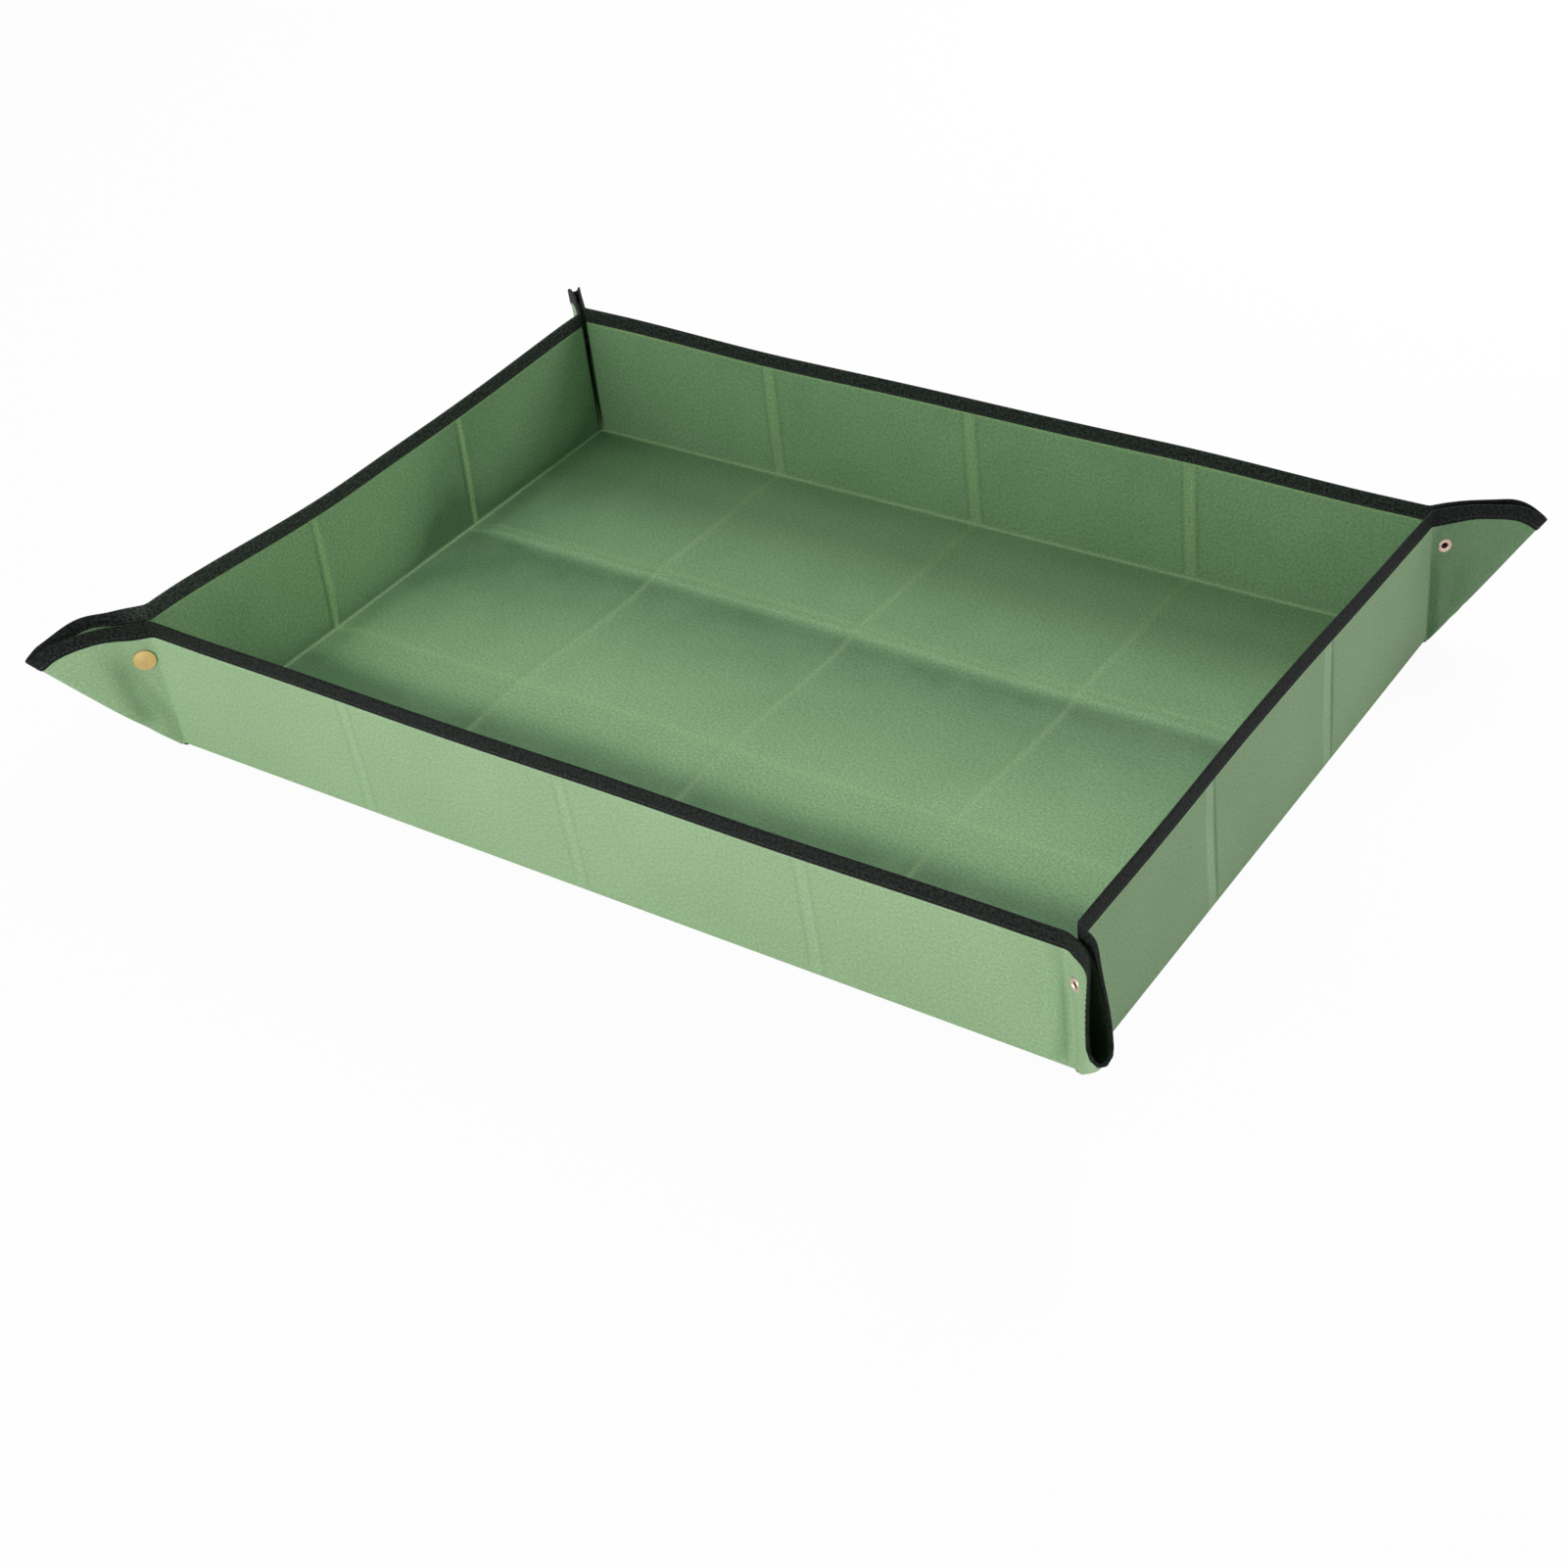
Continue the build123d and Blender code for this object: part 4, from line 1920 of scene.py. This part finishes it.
    def build_fold(self, finishes: Finishes) -> list[Piece]:
        """Make the cloth and tape that turn round the upright fold.

        Args:
            finishes: The tray's materials.

        Returns:
            The cloth and the tape.
        """
        start = SIZES.fold_inset - SIZES.seam_inset
        stop = SIZES.fin_start
        heel = SIZES.heel_height
        fine_top = 18 * MM
        rows = np.concatenate([
            np.linspace(0.4 * MM, heel, 8),
            np.linspace(heel, fine_top, 17)[1:],
            np.linspace(fine_top, SIZES.wall, 34)[1:],
        ])
        before = np.linspace(start, 0.0, 10)
        after = np.linspace(0.0, stop, 11)[1:]
        columns = np.concatenate([before, after])
        up = np.repeat(rows[:, None], len(columns), axis=1)
        squeeze = np.minimum(1.0, rows / stop)
        along = np.where(columns[None, :] > 0, columns[None, :] * squeeze[:, None], columns[None, :])
        kept = np.ones((len(rows) - 1, len(columns) - 1), bool)
        kept[rows[1:] <= heel + TINY, : len(before) - 1] = False
        name = f"{self.fold_label}_fold"
        cloth = cloth_sheet(f"{name}_cloth", self, along, up, kept, finishes.cloth)
        shares = np.linspace(0.0, 1.0, 21)
        tape = edge_tape(f"{name}_tape", self, StraightEdge(start, stop), shares, finishes.edging)
        foot, wall_way, fin_way = self.edge_direction()
        for piece, slot in ((cloth, "cloth"), (tape, "edge_tape")):
            self.wall.label
            self.label
            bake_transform(piece)
        f"{self.wall.label}_cloth"
        return [cloth, tape]

    def _fin_grid(self, edge: CornerEdge) -> tuple[Array, Array, Array, Array]:
        """Lay out the fin's cloth as a fan from the foot of the fold to the cut edge.

        Args:
            edge: Line of the cut edge.

        Returns:
            Places along the edge, grids of both flat coordinates, and the cells that the cloth covers.
        """
        apex = SIZES.fin_start
        total = edge.run_length(0.0)
        tip_zone = 13 * MM
        from_tip = np.concatenate([np.linspace(0.0, tip_zone, 15), np.linspace(tip_zone, total, 30)[1:]])
        shares = 1.0 - from_tip[::-1] / total
        shares[0] = 0.0
        rim_along, rim_up = edge.at(shares, np.zeros_like(shares))
        rings = np.concatenate([np.linspace(0.0, 0.1, 15)[:-1], np.linspace(0.1, 1.0, 50)])
        along = apex + rings[:, None] * (rim_along - apex)[None, :]
        up = apex + rings[:, None] * (rim_up - apex)[None, :]
        kept = np.ones((len(rings) - 1, len(shares) - 1), bool)
        if self.end is End.RIGHT:
            from_snap = np.hypot(along - SIZES.snap_reach, up - SIZES.snap_height)
            corners = [from_snap[:-1, :-1], from_snap[1:, :-1], from_snap[:-1, 1:], from_snap[1:, 1:]]
            kept &= np.min(corners, axis=0) > SIZES.snap_bore
        return shares, along, up, kept

    def build_fin(self, finishes: Finishes) -> list[Piece]:
        """Make the cloth and tape of the fin.

        Args:
            finishes: The tray's materials.

        Returns:
            The cloth and the tape.
        """
        apex = SIZES.fin_start
        edge = CornerEdge(apex)
        shares, along, up, kept = self._fin_grid(edge)
        cloth = cloth_sheet(f"{self.label}_cloth", self, along, up, kept, finishes.cloth)
        tape = edge_tape(f"{self.label}_tape", self, edge, shares, finishes.edging)
        foot, wall_way, fin_way = self.edge_direction()
        for piece, node, slot in ((cloth, self.label, "cloth"), (tape, f"{self.label}_binding", "edge_tape")):
            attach(piece, self.label)
            f"{self.label}_fold"
            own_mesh(piece)
            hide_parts(node)
        f"{self.fold_label}_fold_cloth"
        return [cloth, tape]


@dataclass(frozen=True)
class SnapProfile:
    """Turned outline of a snap part, from the axis out, as radius and height from the cloth's middle."""

    outline: tuple[Pair, ...]
    segments: int = 64
    sharp: float = 40.0

    def build(self, name: str, material: Material, place: Matrix) -> Piece:
        """Turn the outline into a closed part.

        Args:
            name: Name of the piece.
            material: Its finish.
            place: Frame of the snap, with Z towards the other gusset.

        Returns:
            The new piece.
        """
        parts = MeshParts()
        outline = np.array(self.outline) * MM
        angles = np.arange(self.segments) * 2 * math.pi / self.segments
        radius, height = outline[:, None, 0], np.repeat(outline[:, None, 1], self.segments, axis=1)
        ring = np.stack([radius * np.cos(angles)[None, :], radius * np.sin(angles)[None, :], height], axis=-1)
        turned = ring.reshape(-1, 3) @ np.array(place.to_3x3()).T + np.array(place.translation)
        first = merge_same(turned)
        parts.add(turned, np.zeros((len(turned), 2)))
        rows = len(outline)
        for row in range(rows):
            near = row * self.segments
            far = ((row + 1) % rows) * self.segments
            for step in range(self.segments):
                after = (step + 1) % self.segments
                parts.face((first[near + step], first[near + after], first[far + after], first[far + step]))
        return parts.build(name, [material], self.sharp)


def arc_points(centre: Pair, radius: float, start: float, stop: float, count: int) -> list[Pair]:
    """Points on a circular arc of a turned outline.

    Args:
        centre: Radius and height of the arc's centre.
        radius: Radius of the arc.
        start: First angle in degrees.
        stop: Last angle in degrees.
        count: How many points.

    Returns:
        The points in order.
    """
    turns = np.radians(np.linspace(start, stop, count))
    return [(centre[0] + radius * math.cos(turn), centre[1] + radius * math.sin(turn)) for turn in turns]


@dataclass
class SnapFastener:
    """Snap of one corner: brass cap on one gusset, open eyelet on the other."""

    cap_gusset: GussetCloth
    post_gusset: GussetCloth

    def _frame(self, gusset: GussetCloth) -> Matrix:
        """Frame of a gusset at its snap hole.

        Args:
            gusset: The gusset.

        Returns:
            The frame, with Z towards the other gusset.
        """
        along = np.array([SIZES.snap_reach])
        up = np.array([SIZES.snap_height])
        inwards = Vector(gusset.normals(along, up)[0])
        _, _, fin_way = gusset.edge_direction()
        upward = inwards.cross(fin_way).normalized()
        axes = Matrix((upward.cross(inwards), upward, inwards)).transposed().to_4x4()
        axes.translation = Vector(gusset.points(along, up)[0])
        return axes

    def _cap_outline(self) -> tuple[Pair, ...]:
        """Domed cap with a rolled rim, its shank and the spread end.

        Returns:
            Radius and height of each point, in millimetres.
        """
        dome = [
            (0.0, -2.38), (1.6, -2.36), (3.2, -2.29), (4.8, -2.17),
            (6.0, -2.02), (6.7, -1.88), (7.1, -1.8), (7.4, -1.88),
        ]
        rim = arc_points((7.55, -1.1), 0.9, -60, 75, 8)
        shank = [(7.3, -0.32), (2.2, -0.3), (2.2, 0.9), (3.2, 0.9), (3.2, 1.3), (0.0, 1.3)]
        return tuple(dome + rim[1:] + shank)

    def _eyelet_outline(self) -> tuple[Pair, ...]:
        """Rolled eyelet flange with its hollow shank.

        Returns:
            Radius and height of each point, in millimetres.
        """
        lip = [(2.25, -0.3), (2.6, -0.62)]
        flange = arc_points((3.75, -0.42), 0.78, -178, -20, 10)
        rim = [(4.85, -0.82), (5.15, -0.62), (5.25, -0.44), (5.15, -0.3)]
        shank = [(2.7, -0.3), (2.7, 1.1), (2.2, 1.1), (2.2, 0.0)]
        return tuple(lip + flange[2:] + rim + shank)

    def build(self, finishes: Finishes) -> list[Piece]:
        """Make the cap and the eyelet, and finish the parts between them.

        Args:
            finishes: The tray's materials.

        Returns:
            The cap and the eyelet.
        """
        corner = self.cap_gusset.fin.label
        cap_part, eyelet_part = SnapProfile(self._cap_outline()), SnapProfile(self._eyelet_outline())
        cap = cap_part.build(f"{corner}_cap", finishes.brass, self._frame(self.cap_gusset))
        eyelet = eyelet_part.build(f"{corner}_eyelet", finishes.nickel, self._frame(self.post_gusset))
        for piece, gusset, node, slot in (
            (cap, self.cap_gusset, "snap_cap", "brass"),
            (eyelet, self.post_gusset, "snap_post", "nickel"),
        ):
            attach(piece, gusset.label)
            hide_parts(f"{corner}_{node}")
        # The socket and stud get the nickel painted dark as painted shade.
        inner = {"socket": finishes.dark_nickel, "stud": finishes.dark_nickel, "spring": finishes.steel}
        for node, material in inner.items():
            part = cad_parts[f"{corner}_snap_{node}"]
            if not part.material_slots:
                part.data.materials.append(material)
            for held in part.material_slots:
                held.material = material
        return [cap, eyelet]


@dataclass(frozen=True)
class PhotoCamera:
    """Camera at the photograph's viewing angle."""

    azimuth: float = 37.74
    elevation: float = 36.53
    roll: float = -6.88
    distance: float = 1.7246
    target: Place = (0.1218, -0.1400, 0.0500)
    focal_pixels: float = 2614.4
    picture: float = 1601.0
    centre_pixels: float = 840.0
    sensor: float = 36.0
    clip: Pair = (0.05, 50.0)

    def build(self) -> Piece:
        """Make the scene's camera.

        Returns:
            The camera.
        """
        angles = (self.azimuth, self.elevation, self.roll)
        azimuth, elevation, roll = (math.radians(angle) for angle in angles)
        outwards = math.cos(elevation)
        back = Vector((math.sin(azimuth) * outwards, -math.cos(azimuth) * outwards, math.sin(elevation)))
        level = Vector((0.0, 0.0, 1.0)).cross(back).normalized()
        rise = back.cross(level)
        right = level * math.cos(roll) + rise * math.sin(roll)
        upward = rise * math.cos(roll) - level * math.sin(roll)
        data = bpy.data.cameras.new("photo_camera")
        data.sensor_width = self.sensor
        data.lens = self.focal_pixels / self.picture * self.sensor
        data.shift_x = (self.picture / 2 - self.centre_pixels) / self.picture
        data.clip_start, data.clip_end = self.clip
        camera = in_scene("photo_camera", data)
        axes = Matrix((right, upward, back)).transposed().to_4x4()
        axes.translation = Vector(self.target) + back * self.distance
        camera.matrix_world = axes
        bpy.context.scene.camera = camera
        return camera


@dataclass(frozen=True)
class SoftLamp:
    """One large soft lamp."""

    name: str
    place: Place
    size: float
    power: float

    def build(self) -> Piece:
        """Make the lamp, aimed at the tray.

        Returns:
            The lamp.
        """
        data = bpy.data.lights.new(self.name, "AREA")
        data.shape = "DISK"
        data.size = self.size
        data.energy = self.power
        lamp = in_scene(self.name, data)
        lamp.location = self.place
        lamp.rotation_mode = "QUATERNION"
        lamp.rotation_quaternion = (-Vector(self.place)).to_track_quat("-Z", "Y")
        return lamp


@dataclass
class Studio:
    """Pale floor, white surroundings and soft lamps."""

    floor_size: float = 12.0
    floor_grey: float = 0.86
    ambient: float = 0.45
    shown_white: float = 0.95
    lamps: tuple[SoftLamp, ...] = (
        SoftLamp("key_lamp", (0.35, 2.0, 1.75), 1.6, 46.0),
        SoftLamp("front_lamp", (-0.2, -2.6, 0.55), 1.6, 34.0),
    )

    def build(self) -> None:
        """Make the floor, the surroundings, the lamps and the camera."""
        self._floor()
        self._world()
        for lamp in self.lamps:
            LOG.info("lamp: %s", lamp.build().name)
        LOG.info("camera: %s", PhotoCamera().build().name)
        bpy.context.scene.view_settings.view_transform = "Standard"

    def _seen_directly(self, sketch: NodeSketch) -> Socket:
        """Tell whether a ray comes from the camera, or by way of a mirror or glass.

        Args:
            sketch: Sketch of the material's or the world's tree.

        Returns:
            The socket of 0 or 1.
        """
        path = sketch.node("ShaderNodeLightPath")
        seen = sketch.math("ADD", path.outputs["Is Camera Ray"], path.outputs["Is Glossy Ray"])
        seen = sketch.math("ADD", seen, path.outputs["Is Transmission Ray"])
        return sketch.math("MINIMUM", seen, 1.0)

    def _floor(self) -> None:
        """Make the ground, which keeps the tray's shadow."""
        half = self.floor_size / 2
        mesh = bpy.data.meshes.new("ground")
        corners = [(-half, -half, 0), (half, -half, 0), (half, half, 0), (-half, half, 0)]
        mesh.from_pydata(corners, [], [(0, 1, 2, 3)])
        ground = in_scene("ground", mesh)
        material = bpy.data.materials.new("ground_white")
        sketch = fresh_sketch(material)
        diffuse = sketch.node("ShaderNodeBsdfDiffuse")
        diffuse.inputs["Color"].default_value = (self.floor_grey, self.floor_grey, self.floor_grey, 1.0)
        glow = sketch.node("ShaderNodeEmission")
        glow.inputs["Color"].default_value = WHITE
        blend = sketch.node("ShaderNodeMixShader")
        share = sketch.math("MULTIPLY", self._seen_directly(sketch), self.shown_white)
        sketch.join_all([share, diffuse.outputs[0], glow.outputs[0]], blend)
        sketch.show(blend)
        mesh.materials.append(material)

    def _world(self) -> None:
        """Make the surroundings: white to the camera, softer as light."""
        world = bpy.data.worlds.new("white_surroundings")
        bpy.context.scene.world = world
        sketch = fresh_sketch(world)
        background = sketch.node("ShaderNodeBackground")
        background.inputs["Color"].default_value = WHITE
        strength = sketch.math("MULTIPLY_ADD", self._seen_directly(sketch), 1.0 - self.ambient, self.ambient)
        sketch.join(strength, background.inputs["Strength"])
        sketch.show(background, "ShaderNodeOutputWorld")


@dataclass
class PottingTray:
    """The whole tray: floor, walls, corner fins and snaps."""

    fins: tuple[FinShape, ...] = (
        FinShape(
            "front_left", sideways=7 * MM, stretch=5 * MM, bulge=(3 * MM, 3 * MM), lens=(2 * MM, 9 * MM),
            dip=(4.5 * MM, -6.5 * MM), recess=(0.2, 0.3), slant=(0.3, 0.0), dim=(0.06, 0.0),
            streak=(0.42, 0.0),
        ),
        FinShape(
            "front_right", sideways=12 * MM, curl=-5 * MM, droop=-1.2 * MM, stretch=6 * MM,
            bulge=(4.5 * MM, 5 * MM), turn=(8 * MM, 10 * MM), pucker=(0.0, 2.4 * MM), dip=(-1 * MM, 5.5 * MM),
            recess=(0.25, 0.05), soft=(8 * MM, 3 * MM), dim=(0.1, 0.0),
        ),
        FinShape(
            "back_right", stretch=-1.5 * MM, level=3.5 * MM, bulge=(3 * MM, 3 * MM), turn=(6 * MM, 4 * MM),
            dip=(3 * MM, 4 * MM), recess=(0.3, 0.7), dim=(0.2, 0.46),
        ),
        FinShape(
            "back_left", stretch=5 * MM, bulge=(2 * MM, 2 * MM), turn=(4 * MM, 4 * MM), dip=(0.0, -4 * MM),
        ),
    )

    def build(self, finishes: Finishes) -> None:
        """Make every piece in order and report it.

        Args:
            finishes: The tray's materials.
        """
        floor = FloorCloth()
        LOG.info("floor: %s", floor.build(finishes).name)
        gussets: dict[tuple[Side, End], GussetCloth] = {}
        for wall in self.walls(floor):
            LOG.info("wall: %s", wall.build(finishes).name)
            for end in End:
                fin = self.fins[(wall.side.value + (end is End.RIGHT)) % len(self.fins)]
                gusset = GussetCloth(wall, end, fin)
                gussets[(wall.side, end)] = gusset
                for piece in gusset.build_fold(finishes) + gusset.build_fin(finishes):
                    LOG.info("corner: %s", piece.name)
        for side in Side:
            before = Side((side.value - 1) % len(Side))
            snap = SnapFastener(gussets[(side, End.LEFT)], gussets[(before, End.RIGHT)])
            for piece in snap.build(finishes):
                LOG.info("snap: %s", piece.name)

    def walls(self, floor: FloorCloth) -> list[WallCloth]:
        """Set out the four walls.

        Args:
            floor: The floor that they fold up from.

        Returns:
            The walls in order about Z.
        """
        long_way = (SIZES.length, SIZES.width)
        short_way = (SIZES.width, SIZES.length)
        wrinkle = Wrinkle(SIZES.length / 2 - 23 * MM, 1.2 * MM)
        hollows = ((200 * MM, 45 * MM, 0.55), (-52 * MM, 37 * MM, 1.1), (-262 * MM, 26 * MM, 0.75))
        walls = [
            WallCloth(
                Side.FRONT, *long_way, floor, lean=-5.8 * MM, sag=0.5 * MM, phase=0.6, wrinkles=(wrinkle,),
                fold=WallFold(half=4.5 * MM, rise=0.4 * MM, pale=0.3, left_edge=0.14, right_edge=0.16),
            ),
            WallCloth(
                Side.RIGHT, *short_way, floor, lean=2.0 * MM, phase=2.1, tone=WallShade(outside=0.14),
                fold=WallFold(half=6 * MM, pale=1.0, left_edge=0.05, right_edge=0.45),
            ),
            WallCloth(Side.BACK, *long_way, floor, phase=3.4, dust=(0.38, 0.38)),
            WallCloth(
                Side.LEFT, *short_way, floor, lean=4.5 * MM, sag=1.5 * MM, phase=5.0, dust=(0.55, 1.0),
                fold=WallFold(half=3.6 * MM, rise=0.8 * MM, pale=0.8, left_edge=0.1, right_edge=0.25),
                tone=WallShade(inside=0.1, inside_rim=0.0, inside_base=0.8, far_half=0.33, hollows=hollows),
            ),
        ]
        for index, wall in enumerate(walls):
            wall.left_dip = self.fins[index].dip[0]
            wall.right_dip = self.fins[(index + 1) % len(self.fins)].dip[1]
        return walls


def write_sizes() -> None:
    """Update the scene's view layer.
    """
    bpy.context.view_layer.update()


def main() -> None:
    """Build the tray and its studio."""
    logging.basicConfig(level=logging.INFO, format="%(name)s: %(message)s")
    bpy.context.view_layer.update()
    finishes = Finishes.make()
    PottingTray().build(finishes)
    Studio().build()
    write_sizes()


if __name__ == "__main__":
    main()
